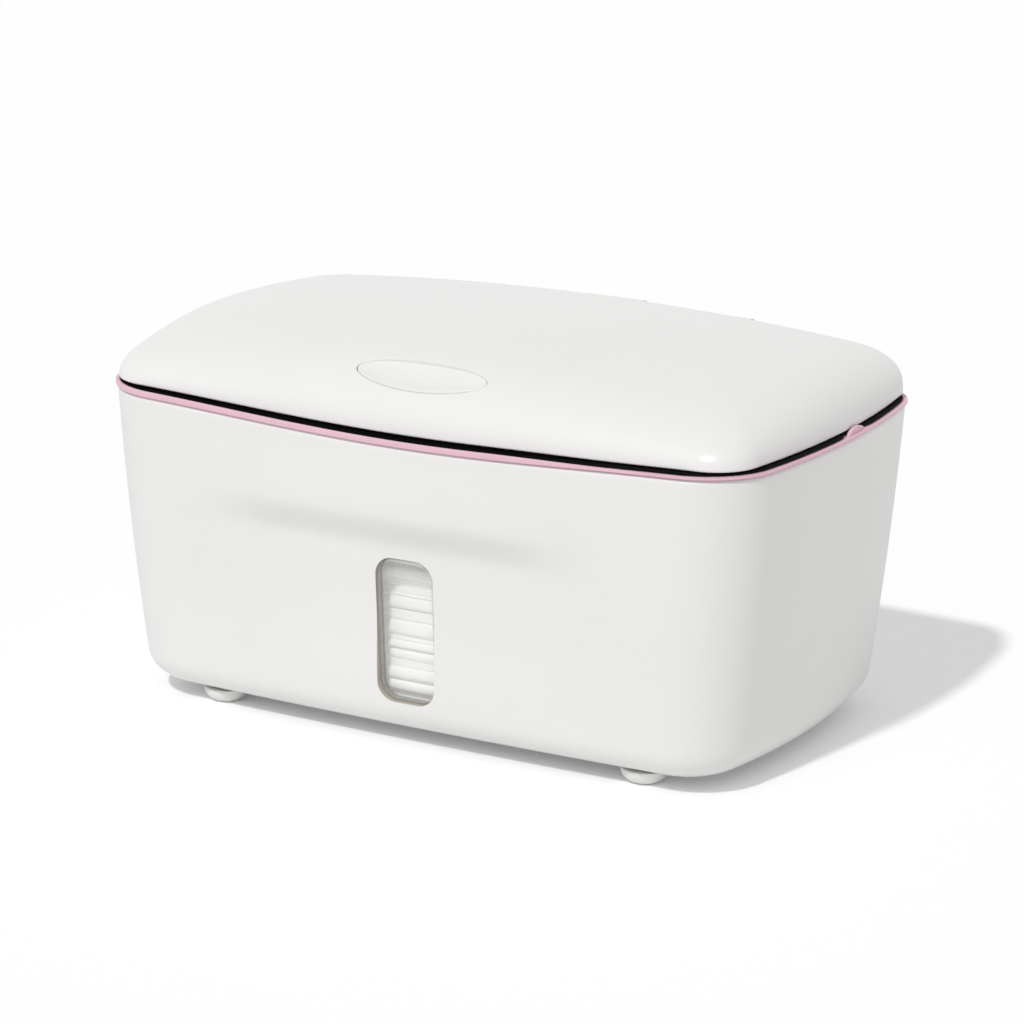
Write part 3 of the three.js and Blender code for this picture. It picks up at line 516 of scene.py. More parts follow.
tray_bottom = rim_height - 0.0042
ledge_bottom, ledge_reach, ledge_half = tray_bottom - 0.008, tub_y - rim_half_depth + 0.0081, 0.008
in_front_wall = tub_y - wall_size(ledge_bottom, wall / 2)["half_depth"]
ledge = drawn("ledge", [
    (in_front_wall, ledge_bottom), (ledge_reach, ledge_bottom),
    (ledge_reach, ledge_bottom + 0.0014), (in_front_wall, ledge_bottom + 0.0032),
], -ledge_half, ledge_half)
modify(ledge, "BEVEL", width=0.0003, segments=2)
join(tub, hinge_bracket(), ledge)
smooth_moulding(tub)
tub_plastic = moulded("tub_plastic", (0.855, 0.85, 0.838), (0.84, 0.836, 0.824), 0.38)
across, depth_in, height_up = (tub_plastic.along(axis) for axis in range(3))
brow = height_up.between(*brow_flank) * (1 - (across - brow_x).size().between(*brow_ends))
in_front = 1 - depth_in.between(-0.02, 0.02)
tub_plastic.relief(brow * in_front, brow_shade)


def past_window(finish):
    """How far a place lies outside the window's outline, seen from the front"""
    past_x = finish.along(0).size() - (window_half_width - window_corner)
    past_z = (finish.along(2) - window_middle).size() - (window_half_height - window_corner)
    past_x, past_z = (past.maths("MAXIMUM", past, 0.0) for past in (past_x, past_z))
    return past_x.maths("POWER", past_x * past_x + past_z * past_z, 0.5) - window_corner


# Painted shade: the jamb faces round the window opening are coloured dark beige, standing in for the shade
# inside the opening.
painted_jamb_shade = in_front * (1 - past_window(tub_plastic).between(0.00002, 0.00014))
tub_plastic.feed(Base_Color=painted_jamb_shade.blended(tub_plastic.tone, (0.5, 0.46, 0.4)))
dress(tub, tub_plastic.material)
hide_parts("tub")
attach(tub, "root")


# Window pane
# A clear plastic pane bonded behind the front wall, with a raised middle that fills the opening. The
# wipes' level shows through it.
pane_lap, pane_thickness, pane_plug, pane_gap, pane_edge = 0.0022, 0.0015, 0.0013, 0.0006, 0.0003
pane_bottom, pane_top, edge_shade_width = window_bottom - pane_lap, window_top + pane_lap, 0.001
inner_low, inner_high = (wall_size(z, wall)["half_depth"] for z in (pane_bottom, pane_top))
lean = math.atan2(inner_high - inner_low, pane_top - pane_bottom)
pane_y = tub_y - (inner_low + inner_high) / 2 + pane_gap + pane_thickness
pane_place = Matrix.Translation((0, pane_y, (pane_bottom + pane_top) / 2))
pane_turn = Matrix.Rotation(math.pi / 2 + lean, 4, "X")


def pane_ring(lap, depth):
    half_height = (pane_top - pane_bottom) / 2 / math.cos(lean) - pane_lap + lap
    ring = rounded(window_half_width + lap, half_height, window_corner + lap)
    return [pane_place @ pane_turn @ Vector((p.x, p.y, depth)) for p in ring]


pane = wrapped("clear_pane", [
    pane_ring(pane_lap, 0), pane_ring(pane_lap, pane_thickness), pane_ring(-fit_gap, pane_thickness),
    pane_ring(-fit_gap, pane_thickness + pane_plug - pane_edge),
    pane_ring(-fit_gap - pane_edge, pane_thickness + pane_plug),
])
smooth(pane, 30)
pane_finish = Finish("clear_plastic")
# Painted shade: within this width of the opening's outline the pane turns brownish and more opaque, standing
# in for the shade along the jamb.
painted_edge_shade = (1 - past_window(pane_finish).size() * (1 / edge_shade_width)).between(0.0, 1.0)
pane_finish.feed(
    Base_Color=painted_edge_shade.blended((0.95, 0.955, 0.955), (0.33, 0.295, 0.245)),
    Roughness=0.04 + 0.04 * pane_finish.place.noise(300.0),
    Alpha=0.05 + 0.62 * painted_edge_shade,
)
dress(pane, pane_finish.material)
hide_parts("window_pane")
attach(pane, "root")


# Rim ring
# Pale pink silicone pressed over the tub's top edge: a round bead, a flat seat that the lid's seal lies
# on, and a skirt inside. A half-round tab at the right is there to pull it off by.
ring_height, ring_width, bead_width, seat_height, ring_lip = 0.00175, 0.0047, 0.0012, 0.0007, 0.0006
bead_edge, skirt_drop, skirt_thickness = 0.0004, 0.005, 0.0008
pressed_span, bead_pressed, lid_pressed = (0.028, 0.080), 0.00095, 0.0007


def pressed(x, depth):
    """The bead is pressed lower to the right, and the lid sits lower with it"""
    return depth * rise(*pressed_span, x)


def rim_line(set_in):
    return outline(rim_half_length - set_in, rim_half_depth - set_in, *rim_bows, rim_corner - set_in)


def rim_band(section):
    """Rings of the rim's outline, one for each (set in, height over the seam)"""
    rings = []
    for set_in, up in section:
        in_bead = max(0.0, up - seat_height) / (ring_height - seat_height)
        rings.append([
            Vector((p.x, p.y + tub_y, seam(p.x) + up - pressed(p.x, bead_pressed) * in_bead))
            for p in rim_line(set_in)
        ])
    return rings


def bead_round():
    """The bead's foot, outer face and round top, from outside to inside"""
    steps = bend(bead_edge, 6)
    foot = [(near / 2, far / 2) for near, far in steps]
    outer = [(far, ring_height - near) for near, far in steps]
    return foot + outer + [(bead_width - x, z) for x, z in reversed(outer)]


rim_ring = wrapped("rim_ring_soft", rim_band([
    (ring_width - skirt_thickness, 0), *bead_round(), (bead_width, seat_height),
    (ring_width, seat_height), (ring_width + ring_lip, seat_height / 2), (ring_width, 0),
    (ring_width, -skirt_drop), (ring_width - skirt_thickness, -skirt_drop),
    (ring_width - skirt_thickness, 0),
]))
smooth(rim_ring, 50)

tab_radius, tab_thickness, tab_height, tab_set_in = 0.0055, 0.0011, 0.0024, 0.00135
tab_x, tab_y = rim_half_length - tab_set_in - tab_thickness / 2, tub_y + 0.006
tab_foot = (tab_x, tab_y, seam(tab_x) + seat_height / 2)
tab = bar("pull_tab", tab_radius, tab_thickness, tab_foot, math.pi / 2, 64)
edit(tab)
bpy.ops.mesh.bisect(plane_co=tab_foot, plane_no=(0, 0, 1), clear_inner=True, use_fill=True)
bpy.ops.mesh.select_all(action="SELECT")
bpy.ops.transform.resize(value=(1, 1, tab_height / tab_radius), center_override=tab_foot)
finish_edit()
round_edges(tab, 0.0004, 3)
smooth(tab, 50)
join(rim_ring, tab)


def silicone(name, light, shade, roughness=0.5, **sockets):
    finish = Finish(name, **sockets)
    cloud = finish.place.noise(60.0, 3.0)
    finish.feed(
        Base_Color=cloud.between(0.3, 0.7).blended(light, shade),
        Roughness=roughness - 0.05 + 0.1 * cloud,
    )
    finish.relief(finish.place.noise(3000.0, 3.0), 0.00003)
    return finish.material


pink_silicone = silicone(
    "pink_silicone", (0.82, 0.53, 0.635), (0.79, 0.5, 0.605), Sheen_Weight=0.1, Sheen_Roughness=0.5,
)
dress(rim_ring, pink_silicone)
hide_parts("rim_ring")
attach(rim_ring, "root")


# Feet
# Four round feet of off-white rubber, plugged into sockets in the tub's underside.
def rubber(name, light, shade):
    finish = Finish(name)
    speck = finish.place.noise(900.0, 4.0)
    finish.feed(
        Base_Color=finish.place.noise(120.0).between(0.3, 0.7).blended(light, shade),
        Roughness=0.5 + 0.15 * speck,
    )
    finish.relief(speck, 0.00004)
    return finish.material


foot_rubber = rubber("foot_rubber", (0.88, 0.875, 0.86), (0.85, 0.845, 0.83))
foot_round = 0.004
for corner_name in ("front_left", "front_right", "rear_left", "rear_right"):
    foot_low, foot_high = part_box("foot_" + corner_name)
    foot_radius = (foot_high.x - foot_low.x) / 2
    foot = post(
        "pad_" + corner_name, foot_radius, foot_low.z, tub_underside - fit_gap,
        (foot_low.x + foot_high.x) / 2, (foot_low.y + foot_high.y) / 2, 64,
    )
    edit(foot)
    bpy.ops.mesh.select_all(action="DESELECT")
    finish_edit()
    for edge in foot.data.edges:
        edge.select = all(foot.data.vertices[v].co.z < foot_low.z + fit_gap for v in edge.vertices)
    bpy.ops.object.mode_set(mode="EDIT")
    bpy.ops.mesh.bevel(offset=foot_round, segments=12, profile=0.5)
    finish_edit()
    smooth(foot)
    dress(foot, foot_rubber)
    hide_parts("foot_" + corner_name)
    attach(foot, "root")


# Hinge pin and hinge spring
# A ground steel pin runs through the knuckles and barrels, and a torsion spring round it in the middle
# knuckle lifts the lid.
def steel(name, light, shade, roughness):
    """Drawn or ground steel: fine lines along X, and a faint change of tone"""
    finish = Finish(name, Metallic=1.0)
    lines = finish.place.node("ShaderNodeMapping", {}, {"Vector": finish.place, "Scale": (40, 3000, 3000)})
    brushed = lines.noise(1.0, 3.0)
    finish.feed(
        Base_Color=brushed.blended(light, shade),
        Roughness=roughness + 0.12 * brushed,
    )
    finish.relief(brushed, 0.000015)
    return finish.material


bright_steel = steel("bright_steel", (0.6, 0.61, 0.63), (0.5, 0.51, 0.53), 0.2)
spring_steel = steel("spring_steel", (0.46, 0.47, 0.49), (0.36, 0.37, 0.39), 0.28)

pin = rod("hinge_pin_steel", pin_radius, -pin_half, pin_half, hinge_y, hinge_z)
round_edges(pin, 0.0003, 3)
smooth(pin)
dress(pin, bright_steel)
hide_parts("hinge_pin")
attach(pin, "root")


def coil(name, radius, wire, length, turns):
    """A wire wound round +Z: a small circle is screwed up the axis, and its ends are closed"""
    deselect()
    bpy.ops.mesh.primitive_circle_add(
        vertices=10, radius=wire, fill_type="NOTHING", location=(radius, 0, 0),
        rotation=(math.pi / 2, 0, 0),
    )
    piece = bpy.context.object
    piece.name = name
    bpy.ops.object.transform_apply()
    modify(
        piece, "SCREW", angle=2 * math.pi * turns, screw_offset=length - 3 * wire,
        steps=28 * turns, render_steps=28 * turns, use_merge_vertices=False,
    )
    edit(piece)
    bpy.ops.mesh.fill_holes(sides=0)
    bpy.ops.mesh.normals_make_consistent(inside=False)
    bpy.ops.transform.translate(value=(0, 0, 1.5 * wire))
    finish_edit()
    smooth(piece, 60)
    return piece


def lay_along_x(piece, start, y, z):
    piece.data.transform(Matrix.Translation((start, y, z)) @ Matrix.Rotation(math.pi / 2, 4, "Y"))


spring_length = 2 * (pocket_half - fit_gap)
hinge_spring = coil("hinge_spring_wire", 0.0025, 0.00045, spring_length, 6)
lay_along_x(hinge_spring, -spring_length / 2, hinge_y, hinge_z)
dress(hinge_spring, spring_steel)
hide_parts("hinge_spring")
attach(hinge_spring, "root")


# Stack of wipes
# Damp non-woven wipes, each folded once and laid on the last, so that round folds and pairs of cut
# edges show behind the window.
stack_low, stack_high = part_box("wipe_stack")
stack_height = stack_high.z - stack_low.z
fillet_reach, stack_slack, fold_reach = 0.006, 0.0008, 0.0009
waver_reach, waver_size, slide_size = 0.012, 0.0002, 0.0005
fold_levels = [
    0.0, 0.07, 0.145, 0.207, 0.282, 0.318, 0.380, 0.425, 0.449, 0.541, 0.591, 0.665, 0.685, 0.757, 0.84,
    0.91, 1.0,
]
cut_edges_in_front = (4, 7, 9, 12)
fold_slides = [0.0, 0.5, -0.3, 0.2, -0.2, 0.6, -0.6, 0.1, 0.5, -0.2, 0.4, -0.3, 0.3, -0.7, 0.4, 0.0]


def ripple(x, seed):
    """A slow waver of a fold along its length"""
    return 0.5 * math.sin(61 * x + 2.1 * seed) + 0.35 * math.sin(137 * x + 4.7 * seed)


def folded_wipe(name, low, high, seed, slide, fold_in_front):
    """One wipe folded in half: its path runs in, round the fold and back, and it has a soft thickness"""
    ply = (high - low) / 2
    in_fillet = max(0.0, fillet_reach - (low - stack_low.z)) * 0.9 + stack_slack
    near, far = stack_low.y + in_fillet, stack_high.y - in_fillet
    fold, inward = (near, 1) if fold_in_front else (far, -1)
    run = far - near
    bottom, top = low + ply / 2, high - ply / 2
    half_span = (top - bottom) / 2
    along = (0.0, 0.02, 0.06, 0.2, 0.5, 0.8, 0.95, 1.0)
    path = [(mix(run, fold_reach, share), bottom) for share in along]
    for i in range(1, 8):
        angle = mix(math.pi / 2, -math.pi / 2, i / 8)
        side = math.copysign(math.sqrt(abs(math.sin(angle))), math.sin(angle))
        path.append((
            fold_reach * (1 - math.sqrt(math.cos(angle))), (top + bottom) / 2 - half_span * side,
        ))
    path += [(mix(run, fold_reach, share), top) for share in reversed(along)]
    columns = 28
    deselect()
    bpy.ops.mesh.primitive_grid_add(x_subdivisions=columns, y_subdivisions=len(path) - 1)
    piece = bpy.context.object
    piece.name = name
    for i, vertex in enumerate(piece.data.vertices):
        row, column = divmod(i, columns + 1)
        away, z = path[row]
        x = mix(stack_low.x, stack_high.x, column / columns) * (1 - 0.004 * abs(math.sin(seed * 3.3)))
        near_edge = 1 - min(away, run - away, waver_reach) / waver_reach
        waver = waver_size * ripple(x, seed) * near_edge
        wander = slide_size * (slide + 0.5 * ripple(x * 0.7, seed + 5))
        vertex.co = (x, fold + inward * away + wander, z + waver)
    modify(piece, "SOLIDIFY", thickness=0.98 * ply, offset=0)
    edit(piece)
    bpy.ops.mesh.normals_make_consistent(inside=False)
    finish_edit()
    round_edges(piece, 0.0004, 3, 60)
    modify(piece, "SUBSURF", levels=1, render_levels=1)
    piece.matrix_world = Matrix.Identity(4)
    smooth(piece, 60)
    return piece


def nonwoven(name):
    """Damp cloth: soft fibres with no weave, a faint embossed dot, a drift of tone, and a faint painted glow
    """
    # Painted light: the cloth glows faintly, standing in for light that comes through the tub's walls onto
    # the wipes.
    finish = Finish(
        name, Sheen_Weight=0.2, Sheen_Roughness=0.6, Emission_Color=(1, 1, 0.98, 1), Emission_Strength=0.09,
    )
    fibres = finish.place.node("ShaderNodeMapping", {}, {"Vector": finish.place, "Scale": (900, 2600, 2600)})
    fuzz = fibres.noise(1.0, 4.0)
    tone = (0.6 * fuzz + 0.4 * finish.place.noise(50.0, 3.0)).between(0.3, 0.7)
    finish.feed(
        Base_Color=tone.blended((0.93, 0.93, 0.92), (0.88, 0.88, 0.87)), Roughness=0.75 + 0.15 * fuzz,
    )
    finish.relief(0.5 * fuzz + 0.5 * finish.place.noise(420.0), 0.00018)
    return finish.material


wipe_cloth = nonwoven("wipe_cloth")


def sunk_share(share):
    """Where a blend that starts and ends gently has moved by this share: rise turned round"""
    return 0.5 - math.sin(math.asin(1 - 2 * share) / 3)


for index, (slide, level, level_over) in enumerate(zip(fold_slides, fold_levels, fold_levels[1:])):
    wipe = folded_wipe(
        f"wipe_{index + 1:02d}", stack_low.z + stack_height * level,
        stack_low.z + stack_height * level_over, index, slide, index not in cut_edges_in_front,
    )
    dress(wipe, wipe_cloth)
    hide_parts("wipe_stack")
    middle = (level + level_over) / 2
    share = sunk_share(middle)
    span = 6 * share * (1 - share) * stack_height
    start_z = stack_low.z + middle * stack_height - share * span
    start_z + span
    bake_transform(wipe)


# Weighted plate
# A white plastic cover and base with a steel slab between them, which press the wipes down. A soft
# pink lip fills its mouth and grips the wipe that is drawn through its slot.
cover_low, cover_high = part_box("plate_cover")
plate_half_length = (cover_high.x - cover_low.x) / 2
plate_half_depth = (cover_high.y - cover_low.y) / 2
plate_corner, plate_skin = 0.016, 0.0018
mouth_half_length, mouth_half_depth, mouth_collar = 0.029, 0.011, 0.0016
weight_set_in, weight_gap, pull_slot = 0.006, 0.003, (0.0195, 0.0026, 0.0025)


def slab(name, half_length, half_depth, radius, low, high):
    """A rounded plate that lies flat"""
    shape = rounded(half_length, half_depth, radius, 16)
    return wrapped(name, [[Vector((p.x, p.y + tub_y, z)) for p in shape] for z in (low, high)])


def mouth_slab(name, grow, low, high):
    half_depth = mouth_half_depth + grow
    return slab(name, mouth_half_length + grow, half_depth, half_depth - 0.0001, low, high)


cover = slab("plate_top", plate_half_length, plate_half_depth, plate_corner, cover_low.z, cover_high.z)
room = slab(
    "room", plate_half_length - plate_skin, plate_half_depth - plate_skin, plate_corner - plate_skin,
    cover_low.z - wall, cover_high.z - plate_skin,
)
boolean(room, "DIFFERENCE", mouth_slab("collar", mouth_collar, cover_low.z - 2 * wall, cover_high.z))
boolean(cover, "DIFFERENCE", room, mouth_slab("mouth", 0, cover_low.z - wall, cover_high.z + wall))
round_edges(cover, 0.0007, 4)
smooth_moulding(cover)
plate_plastic = moulded("plate_plastic", (0.86, 0.856, 0.846), (0.84, 0.836, 0.826), 0.34).material
dress(cover, plate_plastic)
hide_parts("plate_cover")
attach(cover, "plate")


def flat_piece(name, set_in, mouth_grow, box, material):
    """A slab of the plate inside its cover, with a hole round the mouth's collar"""
    low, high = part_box(box)
    piece = slab(
        name, plate_half_length - set_in, plate_half_depth - set_in, plate_corner - set_in, low.z, high.z,
    )
    boolean(piece, "DIFFERENCE", mouth_slab("hole", mouth_grow, low.z - wall, high.z + wall))
    round_edges(piece, 0.0003, 3)
    smooth(piece)
    dress(piece, material)
    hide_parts(box)
    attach(piece, "plate")


flat_piece(
    "plate_floor", plate_skin + fit_gap, mouth_collar + fit_gap, "plate_base", plate_plastic,
)
flat_piece(
    "weight_slab", weight_set_in, mouth_collar + weight_gap, "steel_weight", bright_steel,
)

lip_low, lip_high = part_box("pull_lip")
lip_flange = (lip_high.x - lip_low.x) / 2 - mouth_half_length
lip = mouth_slab("pull_lip_soft", -fit_gap, lip_low.z, lip_high.z)
boolean(lip, "UNION", mouth_slab("flange", lip_flange, cover_high.z + fit_gap, lip_high.z))
boolean(lip, "DIFFERENCE", slab("slot", *pull_slot, lip_low.z - wall, lip_high.z + wall))
round_edges(lip, 0.0005, 4)
smooth(lip)
dress(lip, pink_silicone)
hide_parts("pull_lip")
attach(lip, "plate")


# Lid
# A shallow pillow moulded in glossy white plastic, its lower edge following the rim. Two barrels behind
# turn on the hinge pin, and the thumb button sits in an oval opening in its front shoulder.
lid_set_in, lid_bows, lid_corner, lid_top_corner = 0.0029, (0.0022, 0.00655), 0.0145, 0.008
edge_over_middle, edge_over_ends = 0.0031, 0.0026
lid_height = rim_height + 0.0241
fall_to_ends, fall_to_front, fall_to_rear = 0.0067, 0.009, 0.0041
lid_roll, front_roll, roll_power, front_power = 0.0214, 0.026, 2.92, 2.4
lid_wall, lip_edge = 0.0025, 0.0006


def lid_edge(x):
    return seam(x) + mix(edge_over_ends, edge_over_middle, dip_share(x)) - pressed(x, lid_pressed)


def lid_crown(x, y, drop):
    fall = fall_to_front if y < 0 else fall_to_rear
    return lid_height - drop - fall_to_ends * (x / rim_half_length) ** 2 - fall * (y / rim_half_depth) ** 2


def lid_outline(set_in, front_set_in):
    mean = (set_in + front_set_in) / 2
    ring = outline(
        rim_half_length - lid_set_in - set_in, rim_half_depth - lid_set_in - mean, *lid_bows,
        max(lid_corner - 0.6 * mean, lid_top_corner),
    )
    return [Vector((p.x, p.y + (front_set_in - set_in) / 2)) for p in ring]


def roll(share, reach, power):
    return reach * (1 - (1 - share ** power) ** (1 / power))


def lid_ring(share, skin):
    ring = lid_outline(
        skin + roll(share, lid_roll - skin, roll_power),
        skin + roll(share, front_roll - skin, front_power),
    )
    return [Vector((p.x, p.y + tub_y, mix(lid_edge(p.x), lid_crown(p.x, p.y, skin), share))) for p in ring]


def crown_ring(scale, skin):
    ring = [p * scale for p in lid_outline(lid_roll, front_roll)]
    return [Vector((p.x, p.y + tub_y, lid_crown(p.x, p.y, skin))) for p in ring]


def lip_ring(set_in, up):
    return [Vector((p.x, p.y + tub_y, lid_edge(p.x) + up)) for p in lid_outline(set_in, set_in)]


def roll_shares(count):
    """Steps up the roll that grow finer towards the crown"""
    return [math.sin(share * math.pi / 2) ** (2 / roll_power) for share in shares(count)]


def lid_skin(skin, steps, crown_steps):
    return [
        *[lid_ring(share, skin) for share in roll_shares(steps)[1:]],
        *[crown_ring(1 - share, skin) for share in shares(crown_steps)[1:-1]],
        crown_ring(0.02, skin),
    ]


button_y, button_half_length, button_half_depth = tub_y - rim_half_depth + 0.014, 0.0225, 0.0057
opening_edge = 0.0002


def lid_surface(x, y):
    """Height of the lid's outer skin over a place"""
    return lid_tree.ray_cast(Vector((x, y, lid_height + 0.01)), Vector((0, 0, -1)))[0].z


def button_oval(grow):
    return [Vector((
        (button_half_length + grow) * math.cos(a), button_y + (button_half_depth + grow) * math.sin(a),
    )) for a in (2 * math.pi * i / 96 for i in range(96))]


def flat_oval(grow, z):
    return [Vector((p.x, p.y, z)) for p in button_oval(grow)]


def opening_ring(grow, depth):
    return [Vector((p.x, p.y, lid_surface(p.x, p.y) - depth)) for p in button_oval(grow)]


lid = wrapped("lid_cover", [
    *[lip_ring(set_in, up) for up, set_in in reversed(bend(lip_edge, 4))], *lid_skin(0, 36, 22),
])
lid_tree = BVHTree.FromPolygons(
    [v.co for v in lid.data.vertices], [p.vertices for p in lid.data.polygons],
)
boolean(lid, "DIFFERENCE", wrapped("lid_hollow", [
    [p - Vector((0, 0, 0.002)) for p in lid_ring(0, lid_wall)],
    lid_ring(0, lid_wall), *lid_skin(lid_wall, 14, 8),
]))

collar_low, collar_thickness = 0.107, 0.0018
boolean(lid, "UNION", wrapped("collar", [
    flat_oval(collar_thickness, collar_low), opening_ring(collar_thickness, lid_wall / 2),
]))
boolean(lid, "DIFFERENCE", wrapped("opening", [
    flat_oval(0, rim_height), opening_ring(0, 3 * opening_edge),
    *[opening_ring(grow, depth) for grow, depth in reversed(bend(opening_edge, 4))],
    opening_ring(opening_edge + 0.0002, -0.0004),
    flat_oval(opening_edge + 0.0003, lid_height + 0.003),
]))

barrel, barrel_radius, slide_gap = (0.0116, 0.0436), 0.0036, 0.0004
arm_front, arm_low = tub_y + rim_half_depth - 0.0051, rim_height + 0.0044


def hinge_arm(start, stop):
    top = hinge_z + barrel_radius
    arm = drawn("arm", [
        (arm_front, arm_low), (hinge_y - barrel_radius / 2, hinge_z - barrel_radius),
        (hinge_y, hinge_z - barrel_radius), (hinge_y, top), (arm_front - lid_wall, top + 0.0007),
    ], start, stop)
    boolean(arm, "UNION", rod("barrel", barrel_radius, start, stop, hinge_y, hinge_z))
    boolean(arm, "DIFFERENCE", rod(
        "bore", pin_radius + fit_gap / 2, start - wall, stop + wall, hinge_y, hinge_z,
    ))
    round_edges(arm, 0.0003, 2, 40)
    return arm


scallop_half = knuckle_half + slide_gap
boolean(lid, "DIFFERENCE", rod(
    "scallop", knuckle_radius + slide_gap, -scallop_half, scallop_half, hinge_y, hinge_z, 64,
))
join(lid, hinge_arm(*barrel), hinge_arm(-barrel[1], -barrel[0]))
smooth_moulding(lid)
lid_plastic = moulded("lid_plastic", (0.86, 0.856, 0.846), (0.845, 0.841, 0.831), 0.3).material
dress(lid, lid_plastic)
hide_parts("lid_shell")
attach(lid, "lid")


# Thumb button
# White plastic, dished for the thumb, with a thin lip left along the front. Its skirt slides in the
# lid's collar over two coil springs, and its post pushes the latch.
button_gap, button_skirt, button_skin, skirt_low = 0.00025, 0.0011, 0.0022, 0.108
dish_radius, dish_half_length = 0.014, 0.042
dish_y, dish_z = button_y - 0.0059, lid_height + 0.0020
lip_from, lip_to, button_back = 0.0004, 0.0013, 0.0001


def dish_depth(x, y):
    reach = dish_radius ** 2 - (y - dish_y) ** 2 - (x * dish_radius / dish_half_length) ** 2
    if reach <= 0:
        return 0
    dish = dish_z - math.sqrt(reach)
    along, across = x / (button_half_length - button_gap), (y - button_y) / (button_half_depth - button_gap)
    inside = (1 - math.hypot(along, across)) * button_half_depth
    lip = rise(0.1, 0.6, -across) * (1 - rise(lip_from, lip_to, inside))
    return max(lid_surface(x, y) - dish, 0) * (1 - lip)


def button_ring(scale, drop, grow=0.0):
    ring = []
    for p in button_oval(grow - button_gap):
        x, y = p.x * scale, mix(button_y, p.y, scale) + button_back
        ring.append(Vector((x, y, lid_surface(x, y) - dish_depth(x, y) - drop)))
    return ring


button = wrapped("thumb_button", [
    *[button_ring(scale, button_skin, -button_skirt) for scale in (0.05, 0.3, 0.55, 0.8, 1.0)],
    flat_oval(-button_skirt - button_gap, skirt_low), flat_oval(-button_gap, skirt_low),
    *[button_ring(1, drop, -set_in) for drop, set_in in bend(opening_edge, 4)],
    *[button_ring(1 - share * 0.98, 0, -opening_edge) for share in shares(30)[1:]],
])
spring_x, seat_radius, pilot_radius, pilot_height, stem_radius, tip_radius = (
    0.0105, 0.0031, 0.0017, 0.0016, 0.0016, 0.0009,
)
seat_low, seat_high = lid_height - 0.0137, lid_height - 0.0122
for x in (-spring_x, spring_x):
    boolean(button, "UNION", post("seat", seat_radius, seat_low, seat_high, x, button_y))
    boolean(button, "UNION", post(
        "pilot", pilot_radius, seat_low - pilot_height, seat_low + pilot_height / 2, x, button_y,
    ))
boolean(button, "UNION", post("stem", stem_radius, skirt_low - 0.002, seat_high, 0, button_y))
boolean(button, "UNION", post("tip", tip_radius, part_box("button")[0].z, skirt_low, 0, button_y))
smooth_moulding(button)
dress(button, lid_plastic)
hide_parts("button")
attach(button, "button")


# Lid tray
# A plain white tray closes the lid from below. It carries the pin of the latch in three ears, and the
# bosses that the button's springs stand on.
tray_floor, tray_wall, tray_lap, tray_edge = 0.0022, 0.0017, 0.002, 0.0015
latch_pivot = Vector(pivots["latch_swing"])


def tray_ring(set_in, height):
    ring = rim_line(lid_set_in + lid_wall + fit_gap + set_in)
    return [Vector((p.x, p.y + tub_y, height(p.x))) for p in ring]


def flat(z):
    return lambda x: z


def tray_top(x):
    return lid_edge(x) + tray_lap


tray = wrapped("lid_tray_pan", [
    *[tray_ring(set_in, flat(tray_bottom + up)) for set_in, up in bend(tray_edge, 4)],
    *[tray_ring(0, lambda x, s=share: mix(tray_bottom + tray_edge, tray_top(x), s)) for share in (0.5, 1)],
    tray_ring(tray_wall, tray_top), tray_ring(tray_wall, flat(tray_bottom + tray_floor)),
])
latch_half, ear_gap, ear_thickness, eye_radius = 0.0045, 0.0005, 0.002, 0.0029
shank_front, arm_thickness = tub_y - rim_half_depth + 0.0092, 0.0026
slot_half = latch_half + ear_gap
slot_front = shank_front - 2 * fit_gap
slot_rear = latch_pivot.y - eye_radius - arm_thickness - ear_gap
boolean(tray, "DIFFERENCE", drawn("slot", [
    (slot_front, tray_bottom - wall), (slot_rear, tray_bottom - wall),
    (slot_rear, tray_bottom + 2 * wall), (slot_front, tray_bottom + 2 * wall),
], -slot_half, slot_half))
latch_spring_length, latch_bore = 0.004, 0.0011
boss_radius, boss_height, boss_pilot_height = 0.0036, 0.0034, 0.005


def tray_ear(start):
    floor_z = tray_bottom + tray_floor / 2
    ear = drawn("ear", [
        (latch_pivot.y - eye_radius, floor_z), (latch_pivot.y + eye_radius, floor_z),
        (latch_pivot.y + eye_radius, latch_pivot.z), (latch_pivot.y - eye_radius, latch_pivot.z),
    ], start, start + ear_thickness)
    boolean(ear, "UNION", rod("eye", eye_radius, start, start + ear_thickness, latch_pivot.y, latch_pivot.z))
    boolean(ear, "DIFFERENCE", rod(
        "bore", latch_bore, start - wall, start + 2 * wall, latch_pivot.y, latch_pivot.z,
    ))
    return ear


def spring_boss(x):
    floor_z = tray_bottom + tray_floor
    boss = post("boss", boss_radius, floor_z - tray_floor / 2, floor_z + boss_height, x, button_y)
    boolean(boss, "UNION", post("pilot", pilot_radius, floor_z, floor_z + boss_pilot_height, x, button_y))
    round_edges(boss, 0.0003, 2)
    return boss


far_ear = slot_half + ear_thickness + latch_spring_length + ear_gap
join(
    tray, *[tray_ear(start) for start in (-slot_half - ear_thickness, slot_half, far_ear)],
    spring_boss(-spring_x), spring_boss(spring_x),
)
smooth_moulding(tray)
tray_plastic = moulded("tray_plastic", (0.84, 0.836, 0.826), (0.82, 0.816, 0.806), 0.36).material
dress(tray, tray_plastic)
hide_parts("lid_tray")
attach(tray, "lid")


# Lid seal
# A strip of rubber bonded under the lid's edge. Its flared foot closes on the ring's seat. Its near-black
# colour is painted shade: it fills the gap between lid and ring, which lies in deep shadow, with a black
# line.
seal_outer, seal_inner, over_seat, seal_round = 0.0012, 0.0024, 0.0003, 0.0002
foot_gap, foot_thickness, step_in = 0.0002, 0.0004, (0.001, 0.005)


def on_seat(x):
    return seam(x) + seat_height + over_seat


def under_lid(x):
    return lid_edge(x) - fit_gap


def seal_ring(set_in, height, up=0.0):
    return [Vector((p.x, p.y + tub_y, height(p.x) + up)) for p in lid_outline(set_in, set_in)]


